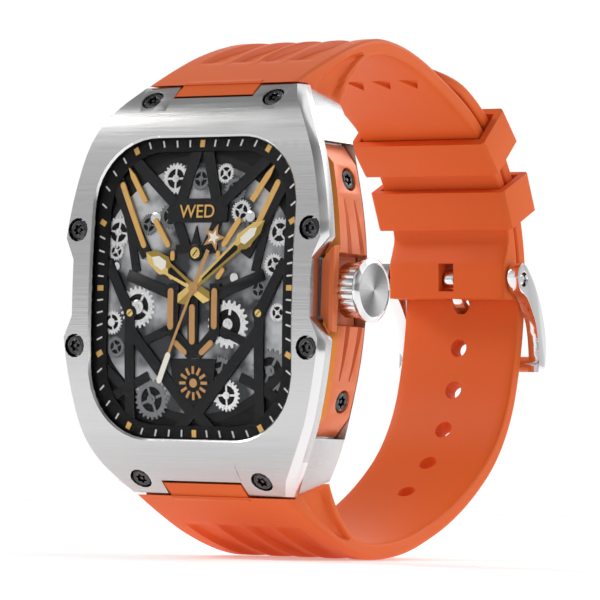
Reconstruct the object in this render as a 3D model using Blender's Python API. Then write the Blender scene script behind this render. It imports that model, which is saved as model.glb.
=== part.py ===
"""Running watch: a barrel-shaped steel case, a crown, a two-piece rubber strap and its pin buckle.

The origin is the middle of the case back's flat face. +X points to three o'clock and the crown,
+Z to twelve o'clock, and the dial looks along -Y, so the strap's loop lies on the +Y side.
Every dimension is in millimetres; MM turns it into metres when a mesh is made.
"""

import math

import bmesh
import bpy
from mathutils import Matrix, Vector

MM = 0.001
GAP = 0.3                       # clearance between pieces that meet

# Case outline, seen from the dial side
HALF_WIDTH = 22.1               # case half width at three o'clock
SIDE_RADIUS = 65.0              # bowed flank
FLANK_END = 17.0                # height where the flank turns into the corner arc
CORNER_RADIUS = 22.5
EAR_TIP = 27.95                 # height of the bezel's four ears
EAR_X = 6.7                     # inner side of an ear
EAR_NOTCH = 26.2                # floor of the notch between two ears
WAIST_X = 19.6                  # floor of the notch in each flank
WAIST_HALF = 3.9
WAIST_TOP = 6.9

# Case section, seen from the side
FRONT_Y = -13.05                # bezel's front at the middle
FRONT_RADIUS = 165.0            # gentle bow from end to end
ROLL_START = 19.5               # height where the front rolls over towards the strap
ROLL_RADIUS = 12.0
BEZEL_THICK = 2.4
CHAMFER_IN = 0.8
CHAMFER_DOWN = 1.0
RIM_Y = -1.3                    # rear edge of the middle case
RIM_BEND_START = 15.0
RIM_BEND_RADIUS = 24.1
CASE_END_FRONT = 27.6           # the middle case's end slopes from here
CASE_END_REAR = 25.7            # to here
CASE_INSET = 0.35

# Openings: half width, half height, corner radius
DIAL = (16.5, 20.55, 9.4)
GLASS = (17.0, 21.05, 9.9)
PANEL = (15.6, 19.6, 8.6)
CAVITY = (15.9, 19.9, 10.5)
BACK_PLATE = (16.6, 21.9, 6.5)
PLATEAU = (12.6, 17.4, 8.0)
GLASS_LIP = 0.45
GLASS_DEPTH = 0.7               # glass front behind the bezel's front
GLASS_THICK = 1.0
PANEL_THICK = 0.6
BACK_SEAT_Y = -2.5

# Side inserts
INSERT_DEEP = 1.9               # insert's inner face below the case outline
INSERT_PROUD = 0.35             # insert's outer face below the case outline
INSERT_END = 19.7
INSERT_FACET = 17.0
INSERT_REAR_Y = -2.0
INSERT_BEVEL = 1.5
RECESS_DEEP = INSERT_DEEP + GAP
POCKET_HALF = 4.95
POCKET_FLOOR = 19.6
POCKET_FRONT_Y = -9.0
BOSS_X = 18.6

# Crown
CROWN_Y = -5.6
CROWN_PRESS = 0.6
BARREL_R = 3.4
BARREL_START = 20.7
CAP_R = 4.35
CAP_START = 24.1
CAP_END = 25.1
SHAFT_R = 0.9
TUBE_R = (1.9, 2.6)
FLUTES = 20

# Screws
BEZEL_SCREWS = ((19.1, 8.0), (10.0, 26.15))
BACK_SCREW = (13.4, 18.6)
BACK_HEAD_THICK = 0.75
BACK_HEAD_SINK = 0.25           # counterbore under a case-back screw's head
INSERT_SCREW = (-4.85, 15.0)    # y, z
HEAD_R = 1.35
HEAD_THICK = 1.0
SHANK_R = 0.65
SHANK_LONG = 3.2

# Strap
STRAP_THICK = 2.3
LAYER_GAP = 0.15                # half of the gap between the overlapping layers
ROOT_HALF = 12.4
STRAP_HALF = 10.0
TAPER_Y = (4.0, 34.0)
ROOT_TOP = 36.5
ROOT_END_Y = 17.6
TAB_HALF = 6.35                 # half width of the tongue that enters the case
LUG_BAR = (-3.3, 25.3)          # y, z of the bar in the upper lugs
BAR_R = 0.75
# Each arc is a radius and a turn in degrees, from the root towards the buckle
UPPER_ARCS = ((44.0, 20.0), (86.0, 6.0), (30.5, 64.0))
LOWER_ARCS = ((51.7, 20.0), (46.0, 20.0), (22.0, 36.0), (60.0, 14.0))
TAIL_ARCS = ((30.5, 64.0), (86.0, 6.0))
HOLE_R = 1.6
HOLE_PITCH = 6.5
HOLES_BELOW = 5
HOLES_ABOVE = 3
TANG_HOLE_Z = 0.6

# Keepers, as heights in degrees round the rear arc's centre
KEEPER_REST = (45.6, 26.4)
KEEPER_LONG = 6.0
KEEPER_WALL = 1.2
KEEPER_CLEAR = 0.4

# Buckle
BUCKLE_BAR_RADIAL = 28.2        # bar's distance from the rear arc's centre
BUCKLE_BAR_RISE = 3.92          # and its height round that centre, in degrees
BUCKLE_BAR_R = 0.8
BUCKLE_END_THICK = 4.3
ARM_X = (10.4, 12.2)
TANG_HALF = 0.8
TANG_THICK = 0.9


# ---------------------------------------------------------------- mesh helpers

def clear_scene():
    for item in list(bpy.data.objects):
        bpy.data.objects.remove(item, do_unlink=True)


def material(name, colour, roughness, metallic):
    """A plain Principled material, made once for each name."""
    found = bpy.data.materials.get(name)
    if found:
        return found
    made = bpy.data.materials.new(name)
    made.use_nodes = True
    shader = made.node_tree.nodes["Principled BSDF"]
    shader.inputs["Base Color"].default_value = (*colour, 1.0)
    shader.inputs["Roughness"].default_value = roughness
    shader.inputs["Metallic"].default_value = metallic
    return made


def make_object(name, points, faces, surface, smooth=30.0):
    """An object from points in millimetres, its faces turned outward."""
    mesh = bpy.data.meshes.new(name)
    mesh.from_pydata([Vector(p) * MM for p in points], [], faces)
    work = bmesh.new()
    work.from_mesh(mesh)
    bmesh.ops.remove_doubles(work, verts=work.verts, dist=1e-7)
    bmesh.ops.dissolve_degenerate(work, edges=work.edges, dist=1e-8)
    bmesh.ops.recalc_face_normals(work, faces=work.faces)
    work.to_mesh(mesh)
    work.free()
    mesh.materials.append(surface)
    mesh.shade_smooth()
    mesh.set_sharp_from_angle(angle=math.radians(smooth))
    made = bpy.data.objects.new(name, mesh)
    bpy.context.collection.objects.link(made)
    return made


def combine(target, others, operation="DIFFERENCE"):
    """Applies one exact Boolean for each of the other objects and removes them."""
    for other in others:
        step = target.modifiers.new(operation, "BOOLEAN")
        step.operation = operation
        step.solver = "EXACT"
        step.object = other
        graph = bpy.context.evaluated_depsgraph_get()
        result = bpy.data.meshes.new_from_object(target.evaluated_get(graph))
        target.modifiers.remove(step)
        target.data = result
        result.name = target.name
        bpy.data.objects.remove(other, do_unlink=True)
    target.data.shade_smooth()
    target.data.set_sharp_from_angle(angle=math.radians(30.0))
    return target


def bridge(loops, closed):
    """Points and quads between loops of equal length; a closed stack joins its ends."""
    count = len(loops[0])
    points = [p for loop in loops for p in loop]
    faces = []
    last = len(loops) if closed else len(loops) - 1
    for row in range(last):
        below = row * count
        above = (row + 1) % len(loops) * count
        for k in range(count):
            j = (k + 1) % count
            faces.append((below + k, below + j, above + j, above + k))
    return points, faces


def ring_body(name, loops, surface, smooth=30.0):
    points, faces = bridge(loops, True)
    return make_object(name, points, faces, surface, smooth)


def capped_body(name, loops, surface, smooth=30.0):
    points, faces = bridge(loops, False)
    count = len(loops[0])
    first = tuple(range(count))
    last = tuple(range(len(points) - count, len(points)))
    return make_object(name, points, faces + [first, last], surface, smooth)


def rounded_rect(half_x, half_z, radius, steps=6):
    """Outline in x and z, counter-clockwise."""
    outline = []
    for turn, (sx, sz) in enumerate(((1, 1), (-1, 1), (-1, -1), (1, -1))):
        for k in range(steps + 1):
            angle = math.radians(90.0 * (turn + k / steps))
            outline.append((sx * (half_x - radius) + radius * math.cos(angle),
                            sz * (half_z - radius) + radius * math.sin(angle)))
    return outline


def plate(name, outline, y0, y1, surface):
    """An outline in x and z, extruded along y."""
    loops = [[(x, y, z) for x, z in outline] for y in (y0, y1)]
    return capped_body(name, loops, surface)


def side_plate(name, outline, x0, x1, surface):
    """An outline in y and z, extruded along x."""
    loops = [[(x, y, z) for y, z in outline] for x in (x0, x1)]
    return capped_body(name, loops, surface)


def block(name, lows, highs, surface):
    outline = ((lows[0], lows[2]), (highs[0], lows[2]), (highs[0], highs[2]), (lows[0], highs[2]))
    return plate(name, outline, lows[1], highs[1], surface)


def circle(radius, steps):
    return [(radius * math.cos(math.tau * k / steps), radius * math.sin(math.tau * k / steps))
            for k in range(steps)]


def place(loops, origin, axis):
    """Turns loops of (a, b, along) so that along follows axis, and moves them to origin."""
    turn = Vector((0, 0, 1)).rotation_difference(Vector(axis).normalized()).to_matrix()
    start = Vector(origin)
    return [[tuple(start + turn @ Vector(p)) for p in loop] for loop in loops]


def turned(name, profile, origin, axis, surface, steps=16):
    """A solid of revolution from (radius, along) pairs, capped at both ends."""
    loops = [[(a, b, along) for a, b in circle(radius, steps)] for radius, along in profile]
    return capped_body(name, place(loops, origin, axis), surface)


def turned_ring(name, profile, origin, axis, surface, steps=16):
    """A ring of revolution from a closed run of (radius, along) pairs."""
    loops = [[(a, b, along) for a, b in circle(radius, steps)] for radius, along in profile]
    return ring_body(name, place(loops, origin, axis), surface)


# ---------------------------------------------------------------- materials

def steel():
    return material("brushed_steel", (0.62, 0.62, 0.61), 0.28, 1.0)


def chrome():
    return material("polished_steel", (0.78, 0.78, 0.78), 0.08, 1.0)


def black_steel():
    return material("black_steel", (0.02, 0.02, 0.02), 0.35, 0.8)


def orange_alloy():
    return material("orange_alloy", (0.85, 0.25, 0.07), 0.3, 0.4)


def orange_rubber():
    return material("orange_rubber", (0.80, 0.15, 0.02), 0.6, 0.0)


def black_rubber():
    return material("black_rubber", (0.015, 0.015, 0.015), 0.7, 0.0)


def black_plastic():
    return material("black_plastic", (0.02, 0.02, 0.022), 0.45, 0.0)


# ---------------------------------------------------------------- case shape

def flank(z):
    """Half width of the case outline at a height."""
    z = abs(z)
    if z <= FLANK_END:
        return HALF_WIDTH - SIDE_RADIUS + math.sqrt(SIDE_RADIUS ** 2 - z ** 2)
    base = FLANK_END / SIDE_RADIUS
    lean = base + (z - FLANK_END) / CORNER_RADIUS
    drop = CORNER_RADIUS * (math.sqrt(1 - base ** 2) - math.sqrt(1 - lean ** 2))
    return flank(FLANK_END) - drop


def flank_normal(z):
    """Outward direction of the outline, in x and z."""
    step = 0.01
    slope = (flank(z + step) - flank(z - step)) / (2 * step)
    long = math.hypot(1.0, slope)
    return 1.0 / long, -slope / long


def front(z):
    """The bezel's front surface."""
    z = abs(z)
    if z <= ROLL_START:
        return FRONT_Y + z ** 2 / (2 * FRONT_RADIUS)
    base = ROLL_START / FRONT_RADIUS
    lean = min(base + (z - ROLL_START) / ROLL_RADIUS, 0.97)
    return front(ROLL_START) + ROLL_RADIUS * (math.sqrt(1 - base ** 2) - math.sqrt(1 - lean ** 2))


def front_normal(z):
    """Outward direction of the front surface, in y and z."""
    step = 0.01
    slope = (front(z + step) - front(z - step)) / (2 * step)
    long = math.hypot(1.0, slope)
    return -1.0 / long, slope / long


def rear_rim(z):
    z = abs(z)
    if z <= RIM_BEND_START:
        return RIM_Y
    return RIM_Y + RIM_BEND_RADIUS - math.sqrt(RIM_BEND_RADIUS ** 2 - (z - RIM_BEND_START) ** 2)


def mirror_quarter(quarter):
    """A closed outline from its x > 0, z > 0 quarter, which runs from the x axis to the z axis."""
    upper = quarter + [(-x, z, *rest) for x, z, *rest in quarter[-2::-1]]
    lower = [(x, -z, *rest) for x, z, *rest in upper[-2:0:-1]]
    return upper + lower


def flank_heights(top, low):
    heights = [low + (FLANK_END - low) * k / 4 for k in range(5)]
    return heights + [FLANK_END + (top - FLANK_END) * k / 7 for k in range(1, 8)]


def bezel_outline():
    """Points (x, z, chamfer, aim) with the waist notches and the ears.

    The aim replaces x where a ray towards the dial's opening would cut across a notch's corner.
    """
    quarter = [(WAIST_X, 0.0, 0.0, WAIST_X), (WAIST_X, WAIST_HALF, 0.0, WAIST_X)]
    quarter += [(flank(z), z, 1.0, flank(z)) for z in flank_heights(EAR_TIP, WAIST_TOP)]
    middle = (flank(EAR_TIP) + EAR_X) / 2
    quarter += [(middle, EAR_TIP, 0.0, middle + 1.1), (EAR_X, EAR_TIP, 0.0, EAR_X + 2.6)]
    quarter += [(EAR_X - 0.1, EAR_NOTCH, 0.0, EAR_X + 1.4), (EAR_X / 2, EAR_NOTCH, 0.0, EAR_X / 2 + 0.6),
                (0.0, EAR_NOTCH, 0.0, 0.0)]
    return mirror_quarter(quarter)


def case_outline(top, inset):
    """The plain barrel outline, cut off at a height."""
    quarter = [(flank(0.0) - inset, 0.0), (flank(3.5) - inset, 3.5)]
    quarter += [(flank(z) - inset, z) for z in flank_heights(top, 7.0)]
    end = flank(top) - inset
    quarter += [(end * k / 4, top) for k in (3, 2, 1, 0)]
    return mirror_quarter(quarter)


def on_rect(x, z, rect):
    """Where the ray from the middle through a point meets a rounded rectangle."""
    half_x, half_z, radius = rect
    long = math.hypot(x, z)
    dx, dz = abs(x) / long, abs(z) / long
    reach = min(half_x / max(dx, 1e-9), half_z / max(dz, 1e-9))
    cx, cz = half_x - radius, half_z - radius
    if reach * dx > cx and reach * dz > cz:
        along = dx * cx + dz * cz
        reach = along + math.sqrt(along ** 2 - cx ** 2 - cz ** 2 + radius ** 2)
    return math.copysign(reach * dx, x), math.copysign(reach * dz, z)


def grown(rect, by):
    return tuple(value + by for value in rect)


def between(inner, outer, shares, depth):
    """Loops part of the way from one outline to another, laid on a depth function of z."""
    loops = []
    for share in shares:
        loop = []
        for (x0, z0), (x1, z1) in zip(inner, outer):
            x, z = x0 + (x1 - x0) * share, z0 + (z1 - z0) * share
            loop.append((x, depth(z), z))
        loops.append(loop)
    return loops


# ---------------------------------------------------------------- case pieces

def bezel_screw_seats():
    """Origin and inward axis of the eight bezel screws."""
    seats = []
    for x, z in BEZEL_SCREWS:
        for sx in (1, -1):
            for sz in (1, -1):
                ny, nz = front_normal(z)
                seats.append(((sx * x, front(z), sz * z), (0.0, -ny, -sz * nz)))
    return seats


def screw_cutters(origin, axis, bore_depth):
    """Counterbore for the head and a clearance hole for the shank."""
    wide = HEAD_R + GAP
    thin = SHANK_R + GAP
    above = -2.0
    below = HEAD_THICK + 0.15 + GAP
    profile = ((wide, above), (wide, below), (thin, below), (thin, bore_depth))
    return turned("cutter", profile, origin, axis, steel(), 14)


def make_bezel():
    outline = bezel_outline()
    outer = [(x, z) for x, z, _, _ in outline]
    rays = [(math.copysign(aim, x), z) for x, z, _, aim in outline]
    face = []
    shoulder = []
    for x, z, bevel, _ in outline:
        nx, nz = flank_normal(abs(z))
        px = x - math.copysign(bevel * CHAMFER_IN * nx, x)
        pz = z - math.copysign(bevel * CHAMFER_IN * nz, z) * (abs(z) < EAR_TIP - 0.01)
        face.append((px, pz))
        shoulder.append((x, front(z) + bevel * CHAMFER_DOWN, z))
    lip = [on_rect(x, z, DIAL) for x, z in rays]
    lip_face = [on_rect(x, z, grown(DIAL, 0.3)) for x, z in rays]
    seat = [on_rect(x, z, grown(GLASS, GAP)) for x, z in rays]

    def rear(z):
        return front(z) + BEZEL_THICK

    loops = [[(x, front(z) + GLASS_LIP, z) for x, z in lip]]
    loops.append([(x, front(z) + 0.25, z) for x, z in lip])
    loops += between(lip_face, face, (0.0, 0.25, 0.5, 0.75, 1.0), front)
    loops.append(shoulder)
    loops += between(seat, outer, (1.0, 0.66, 0.33, 0.0), rear)
    loops.append([(x, front(z) + GLASS_LIP, z) for x, z in seat])
    bezel = ring_body("bezel", loops, steel())
    cutters = [screw_cutters(origin, axis, 6.0) for origin, axis in bezel_screw_seats()]
    return combine(bezel, cutters)


def insert_section(z, deep, proud, bevel, grow):
    """Section of a side insert, in x and y, at a height."""
    fore = front(z) + BEZEL_THICK + GAP - grow
    aft = INSERT_REAR_Y + grow
    inner = flank(z) - deep
    outer = flank(z) - proud
    return [(inner, fore), (outer - bevel, fore), (outer, fore + bevel), (outer, aft - 0.4),
            (outer - 0.3, aft), (inner, aft)]


def insert_body(name, side, surface):
    """A curved bar that follows the flank, with a sloping facet at each end."""
    facet = [INSERT_END, INSERT_FACET, 13.0, 10.0, 7.0, 3.5]
    heights = facet + [0.0] + [-z for z in reversed(facet)]
    loops = []
    for z in heights:
        lowered = 1.2 if abs(z) == INSERT_END else 0.0
        section = insert_section(z, INSERT_DEEP, INSERT_PROUD + lowered, INSERT_BEVEL - lowered, 0.0)
        loops.append([(side * x, y, z) for x, y in section])
    return capped_body(name, loops, surface)


def recess_cutter(side):
    """Space in the middle case for an insert, open to the front and the side."""
    loops = []
    top = INSERT_END + GAP
    for k in range(13):
        z = top - 2 * top * k / 12
        inner = flank(z) - RECESS_DEEP
        fore, aft = FRONT_Y - 1.0, INSERT_REAR_Y + GAP
        loops.append([(side * inner, fore, z), (side * 30.0, fore, z),
                      (side * 30.0, aft, z), (side * inner, aft, z)])
    return capped_body("cutter", loops, steel())


def insert_screw_seats():
    """Origin and inward axis of the four insert screws."""
    seats = []
    y, z = INSERT_SCREW
    nx, nz = flank_normal(z)
    for side in (1, -1):
        for sz in (1, -1):
            origin = (side * (flank(z) - INSERT_PROUD), y, sz * z)
            seats.append((origin, (-side * nx, 0.0, -sz * nz)))
    return seats


def back_screw_seats():
    x, z = BACK_SCREW
    return [((sx * x, -0.9, sz * z), (0.0, -1.0, 0.0)) for sx in (1, -1) for sz in (1, -1)]


def strap_end_cutters(sz):
    """Slot for the strap's tongue, pocket for its tab, and the lug bar's blind holes."""
    y, z = LUG_BAR
    slot = block("cutter", (-TAB_HALF - GAP, -6.3, min(sz * 23.3, sz * 30.0)),
                 (TAB_HALF + GAP, -0.3, max(sz * 23.3, sz * 30.0)), steel())
    tab = block("cutter", (-TAB_HALF - GAP, -20.0, min(sz * EAR_NOTCH, sz * 30.0)),
                (TAB_HALF + GAP, -3.0, max(sz * EAR_NOTCH, sz * 30.0)), steel())
    bores = turned("cutter", ((BAR_R + GAP, -9.6), (BAR_R + GAP, 9.6)), (0, y, sz * z), (1, 0, 0), steel())
    return [slot, tab, bores]


def make_mid_case():
    front_outline = case_outline(CASE_END_FRONT, CASE_INSET)
    rear_outline = case_outline(CASE_END_REAR, CASE_INSET)
    rear_inner = case_outline(CASE_END_REAR, CASE_INSET + 0.6)
    cavity = [on_rect(x, z, CAVITY) for x, z in front_outline]
    seat = [on_rect(x, z, grown(BACK_PLATE, GAP)) for x, z in front_outline]

    def fore(z):
        return front(z) + BEZEL_THICK + GAP

    loops = between(cavity, front_outline, (0.0, 0.3, 0.55, 0.8, 1.0), fore)
    loops.append([(x, rear_rim(z) - 0.9, z) for x, z in rear_outline])
    loops += between(rear_inner, seat, (0.0, 0.5, 1.0), rear_rim)
    loops.append([(x, BACK_SEAT_Y, z) for x, z in seat])
    loops.append([(x, BACK_SEAT_Y, z) for x, z in cavity])
    case = ring_body("mid_case", loops, steel())
    cutters = [recess_cutter(1), recess_cutter(-1)]
    boss = block("cutter", (BOSS_X - GAP, -9.7, -5.3), (25.0, INSERT_REAR_Y + GAP, 5.3), steel())
    tube = turned("cutter", ((TUBE_R[1] + GAP, 12.0), (TUBE_R[1] + GAP, 25.0)),
                  (0, CROWN_Y, 0), (1, 0, 0), steel(), 20)
    cutters += [boss, tube]
    for sz in (1, -1):
        cutters += strap_end_cutters(sz)
    thin = SHANK_R + GAP
    for origin, axis in bezel_screw_seats():
        cutters.append(turned("cutter", ((thin, 0.0), (thin, 5.2)), origin, axis, steel(), 10))
    for origin, axis in insert_screw_seats():
        cutters.append(turned("cutter", ((thin, 0.0), (thin, 3.9)), origin, axis, steel(), 10))
    for origin, axis in back_screw_seats():
        cutters.append(turned("cutter", ((thin, 0.0), (thin, 4.6)), origin, axis, steel(), 10))
    return combine(case, cutters)


def make_inserts():
    right = insert_body("side_insert_right", 1, orange_alloy())
    boss = block("boss", (BOSS_X, -9.4, -5.0), (21.0, INSERT_REAR_Y, 5.0), orange_alloy())
    combine(right, [boss], "UNION")
    mouth, floor = POCKET_HALF + 0.35, POCKET_HALF - 0.35
    outer_x = 24.0
    loops = [[(x, y, z) for y, z in ((POCKET_FRONT_Y, -half), (2.0, -half), (2.0, half),
                                     (POCKET_FRONT_Y, half))]
             for x, half in ((POCKET_FLOOR, floor), (outer_x, mouth))]
    pocket = capped_body("cutter", loops, orange_alloy())
    bore = turned("cutter", ((TUBE_R[1] + GAP, 15.0), (TUBE_R[1] + GAP, 25.0)),
                  (0, CROWN_Y, 0), (1, 0, 0), orange_alloy(), 20)
    combine(right, [pocket, bore])
    left = insert_body("side_insert_left", -1, orange_alloy())
    for origin, axis in insert_screw_seats():
        target = right if origin[0] > 0 else left
        combine(target, [screw_cutters(origin, axis, 4.0)])
    for origin, axis in bezel_screw_seats():
        if abs(origin[0]) > WAIST_X - 1.0:
            target = right if origin[0] > 0 else left
            combine(target, [turned("cutter", ((SHANK_R + GAP, 0.0), (SHANK_R + GAP, 6.0)), origin, axis,
                                    orange_alloy(), 10)])


def make_case_back():
    y_plate, y_step, y_top = -1.6, -0.9, 0.0
    loops = [[(x, y, z) for x, z in rounded_rect(*rect)]
             for rect, y in ((BACK_PLATE, y_plate), (BACK_PLATE, y_step),
                             (grown(PLATEAU, 0.9), y_step), (PLATEAU, y_top))]
    back = capped_body("case_back", loops, steel())
    cutters = [turned("cutter", ((8.3, -3.0), (8.3, 1.0)), (0, 0, 0), (0, 1, 0), steel(), 32)]
    for x in (3.2, -3.2):
        cutters.append(turned("cutter", ((1.4, -3.0), (1.4, 1.0)), (x, 0, -13.4), (0, 1, 0), steel(), 14))
    for (x, _, z), axis in back_screw_seats():
        cutters.append(turned("cutter", ((SHANK_R + GAP, -1.0), (SHANK_R + GAP, 3.0)), (x, 0, z), axis,
                              steel(), 10))
        seat = -y_step + BACK_HEAD_SINK
        cutters.append(turned("cutter", ((HEAD_R + GAP, -1.0), (HEAD_R + GAP, seat)), (x, 0, z), axis,
                              steel(), 16))
    return combine(back, cutters)


def make_screw(name, origin, axis, shank_long, surface, head=HEAD_THICK):
    """A pan-head screw with a six-sided socket; its head's top is at the origin."""
    sides = 12
    socket = []
    for k in range(sides):
        angle = math.tau * k / sides
        reach = 0.72 if k % 2 == 0 else 0.72 * math.cos(math.radians(30.0))
        socket.append((reach * math.cos(angle), reach * math.sin(angle)))
    rings = ((HEAD_R - 0.2, 0.0), (HEAD_R, 0.2), (HEAD_R, head), (SHANK_R, head),
             (SHANK_R, head + shank_long))
    loops = [[(a, b, head / 2) for a, b in socket], [(a, b, 0.0) for a, b in socket]]
    loops += [[(a, b, along) for a, b in circle(radius, sides)] for radius, along in rings]
    return capped_body(name, place(loops, origin, axis), surface)


def make_screws():
    sunk = 0.15
    groups = (("bezel_screw", bezel_screw_seats(), SHANK_LONG, black_steel()),
              ("insert_screw", insert_screw_seats(), 2.3, black_steel()))
    for label, seats, shank, surface in groups:
        for number, (origin, axis) in enumerate(seats, 1):
            start = Vector(origin) + Vector(axis) * sunk
            make_screw(f"{label}_{number}", start, axis, shank, surface)
    for number, (origin, axis) in enumerate(back_screw_seats(), 1):
        start = Vector(origin) - Vector(axis) * (BACK_HEAD_THICK - BACK_HEAD_SINK + GAP)
        make_screw(f"case_back_screw_{number}", start, axis, 3.4, steel(), BACK_HEAD_THICK)


def curved_plate(name, rect, depth, thick, surface):
    """A thin plate with rounded corners that follows the bow of the case's front."""
    half_x, half_z, radius = rect
    straight = half_z - radius
    heights = [straight + radius * math.sin(math.radians(90.0 * k / 7)) for k in range(7)]
    heights = heights + [half_z - 0.02]
    heights = heights[::-1] + [straight * k / 3 for k in (2, 1, 0, -1, -2)] + [-z for z in heights]
    loops = []
    for z in heights:
        over = max(abs(z) - straight, 0.0)
        wide = half_x - radius + math.sqrt(radius ** 2 - over ** 2)
        y0, y1 = front(z) + depth, front(z) + depth + thick
        loops.append([(-wide, y0, z), (wide, y0, z), (wide, y1, z), (-wide, y1, z)])
    return capped_body(name, loops, surface)


def flat_ring(name, outer, inner, y0, y1, surface):
    """A flat ring between two rounded rectangles."""
    loops = []
    for rect, y in ((outer, y0), (outer, y1), (inner, y1), (inner, y0)):
        loops.append([(x, y, z) for x, z in rounded_rect(*rect, 8)])
    return ring_body(name, loops, surface)


def bowed_ring(name, outer, inner, depth, thick, surface):
    """A ring between two rounded rectangles that follows the bow of the case's front."""
    guide = case_outline(CASE_END_FRONT, CASE_INSET)
    loops = []
    for rect, low in ((outer, depth), (outer, depth + thick), (inner, depth + thick), (inner, depth)):
        edge = [on_rect(x, z, rect) for x, z in guide]
        loops.append([(x, front(z) + low, z) for x, z in edge])
    return ring_body(name, loops, surface)


def make_front_stack():
    glass = material("glass", (0.9, 0.92, 0.92), 0.03, 0.0)
    curved_plate("cover_glass", GLASS, GLASS_DEPTH, GLASS_THICK, glass)
    panel_depth = GLASS_DEPTH + GLASS_THICK + GAP
    curved_plate("display_panel", PANEL, panel_depth, PANEL_THICK, black_plastic())
    bowed_ring("glass_gasket", GLASS, (16.1, 20.15, 9.0), panel_depth, 0.4, black_rubber())


def make_inner_frame():
    """A plastic tray that carries the electronics behind the display."""
    tray = (15.5, 19.5, 10.1)
    wall = (14.5, 18.5, 9.1)
    steps = ((tray, -2.9), (tray, -8.9), (wall, -8.1), (wall, -2.9))
    loops = [[(x, y, z) for x, z in rounded_rect(*rect, 8)] for rect, y in steps]
    count = len(loops[0])
    ordered = [loops[2], loops[3], loops[0], loops[1]]
    points, faces = bridge(ordered, False)
    faces += [tuple(range(count)), tuple(range(3 * count, 4 * count))]
    frame = make_object("inner_frame", points, faces, black_plastic())
    passage = turned("cutter", ((2.4, 13.5), (2.4, 18.0)), (0, CROWN_Y, 0), (1, 0, 0), steel(), 14)
    return combine(frame, [passage])


def make_electronics():
    board = material("circuit_board", (0.02, 0.16, 0.07), 0.5, 0.0)
    copper = material("copper_foil", (0.75, 0.45, 0.25), 0.35, 1.0)
    pouch = material("battery_pouch", (0.55, 0.56, 0.58), 0.35, 0.8)
    ceramic = material("antenna_ceramic", (0.75, 0.68, 0.55), 0.5, 0.0)
    glass = material("sensor_glass", (0.01, 0.01, 0.012), 0.08, 0.0)
    gold = material("gold_plate", (0.80, 0.55, 0.20), 0.2, 1.0)
    tray = rounded_rect(14.0, 18.0, 8.6)
    shape = plate("main_board", tray, -7.8, -7.1, board)
    combine(shape, [block("cutter", (11.9, -9.0, -2.9), (16.0, -6.0, 2.9), board)])
    plate("battery", rounded_rect(11.0, 9.0, 1.2, 3), -6.7, -3.6, pouch).location = (0, 0, 1.5 * MM)
    block("gps_antenna", (-6.5, -6.7, 11.3), (6.5, -4.9, 15.8), ceramic)
    speaker = rounded_rect(5.2, 3.0, 1.5, 4)
    plate("speaker", speaker, -6.7, -4.4, black_plastic()).location = (5.6 * MM, 0, -12.0 * MM)
    turned("vibration_motor", ((4.0, 0.0), (4.0, 2.6)), (-6.3, -6.7, -12.6), (0, 1, 0), pouch, 24)
    block("crown_switch", (12.2, -8.0, -2.5), (14.0, -3.6, 2.5), copper)
    plate("sensor_board", circle(7.0, 24), -3.2, -2.6, board)
    plate("sensor_window", circle(8.0, 32), -1.6, 0.0, glass)
    for number, x in enumerate((3.2, -3.2), 1):
        turned(f"charge_pin_{number}", ((1.1, -2.2), (1.1, -0.1)), (x, 0, -13.4), (0, 1, 0), gold, 14)
    flat_ring("case_back_gasket", BACK_PLATE, (15.8, 20.9, 5.7), -2.25, -1.9, black_rubber())


# ---------------------------------------------------------------- crown

def make_crown():
    """Fluted barrel with a wider polished cap; the origin lies on the crown's axis."""
    outline = []
    for k in range(FLUTES):
        for part, radius in ((0.0, BARREL_R), (0.5, BARREL_R), (0.62, BARREL_R - 0.3), (0.88, BARREL_R - 0.3)):
            angle = math.tau * (k + part) / FLUTES
            outline.append((radius, angle))
    profile = ((0.0, BARREL_START, True), (0.0, CAP_START, True), (CAP_R - 0.15, CAP_START, False),
               (CAP_R, CAP_START + 0.2, False), (CAP_R, CAP_END - 0.45, False),
               (CAP_R - 0.6, CAP_END, False), (CAP_R - 0.75, CAP_END - 0.15, False))
    loops = []
    for radius, x, fluted in profile:
        loops.append([(x, (r if fluted else radius) * math.cos(a), (r if fluted else radius) * math.sin(a))
                      for r, a in outline])
    crown = capped_body("crown", loops, chrome())
    bore = turned("cutter", ((SHAFT_R + GAP, -1.0), (SHAFT_R + GAP, 2.0)), (BARREL_START, 0, 0), (1, 0, 0),
                  chrome(), 16)
    combine(crown, [bore])
    shaft_start, shaft_end = 14.9, 22.3
    shaft = turned("crown_shaft", ((SHAFT_R, shaft_start), (SHAFT_R, shaft_end)), (0, 0, 0), (1, 0, 0), chrome(), 16)
    clip = turned_ring("crown_clip", ((1.15, 15.3), (1.75, 15.3), (1.75, 15.7), (1.15, 15.7)),
                       (0, 0, 0), (1, 0, 0), chrome(), 16)
    seal_r, seal_mid = 0.28, 1.4
    section = [(seal_mid + seal_r * math.cos(a), 18.2 + seal_r * math.sin(a))
               for a in (math.tau * k / 8 for k in range(8))]
    seal = turned_ring("crown_o_ring", section, (0, 0, 0), (1, 0, 0), black_rubber(), 20)
    for piece in (crown, shaft, clip, seal):
        piece.location = (0, CROWN_Y * MM, 0)
    low, high = TUBE_R
    turned_ring("crown_tube", ((low, 16.1), (high, 16.1), (high, 19.5), (low, 19.5)),
                (0, CROWN_Y, 0), (1, 0, 0), steel(), 20)


# ---------------------------------------------------------------- strap

def bezier(points, share):
    a, b, c, d = (Vector(p) for p in points)
    rest = 1 - share
    return a * rest ** 3 + b * 3 * share * rest ** 2 + c * 3 * share ** 2 * rest + d * share ** 3


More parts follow.
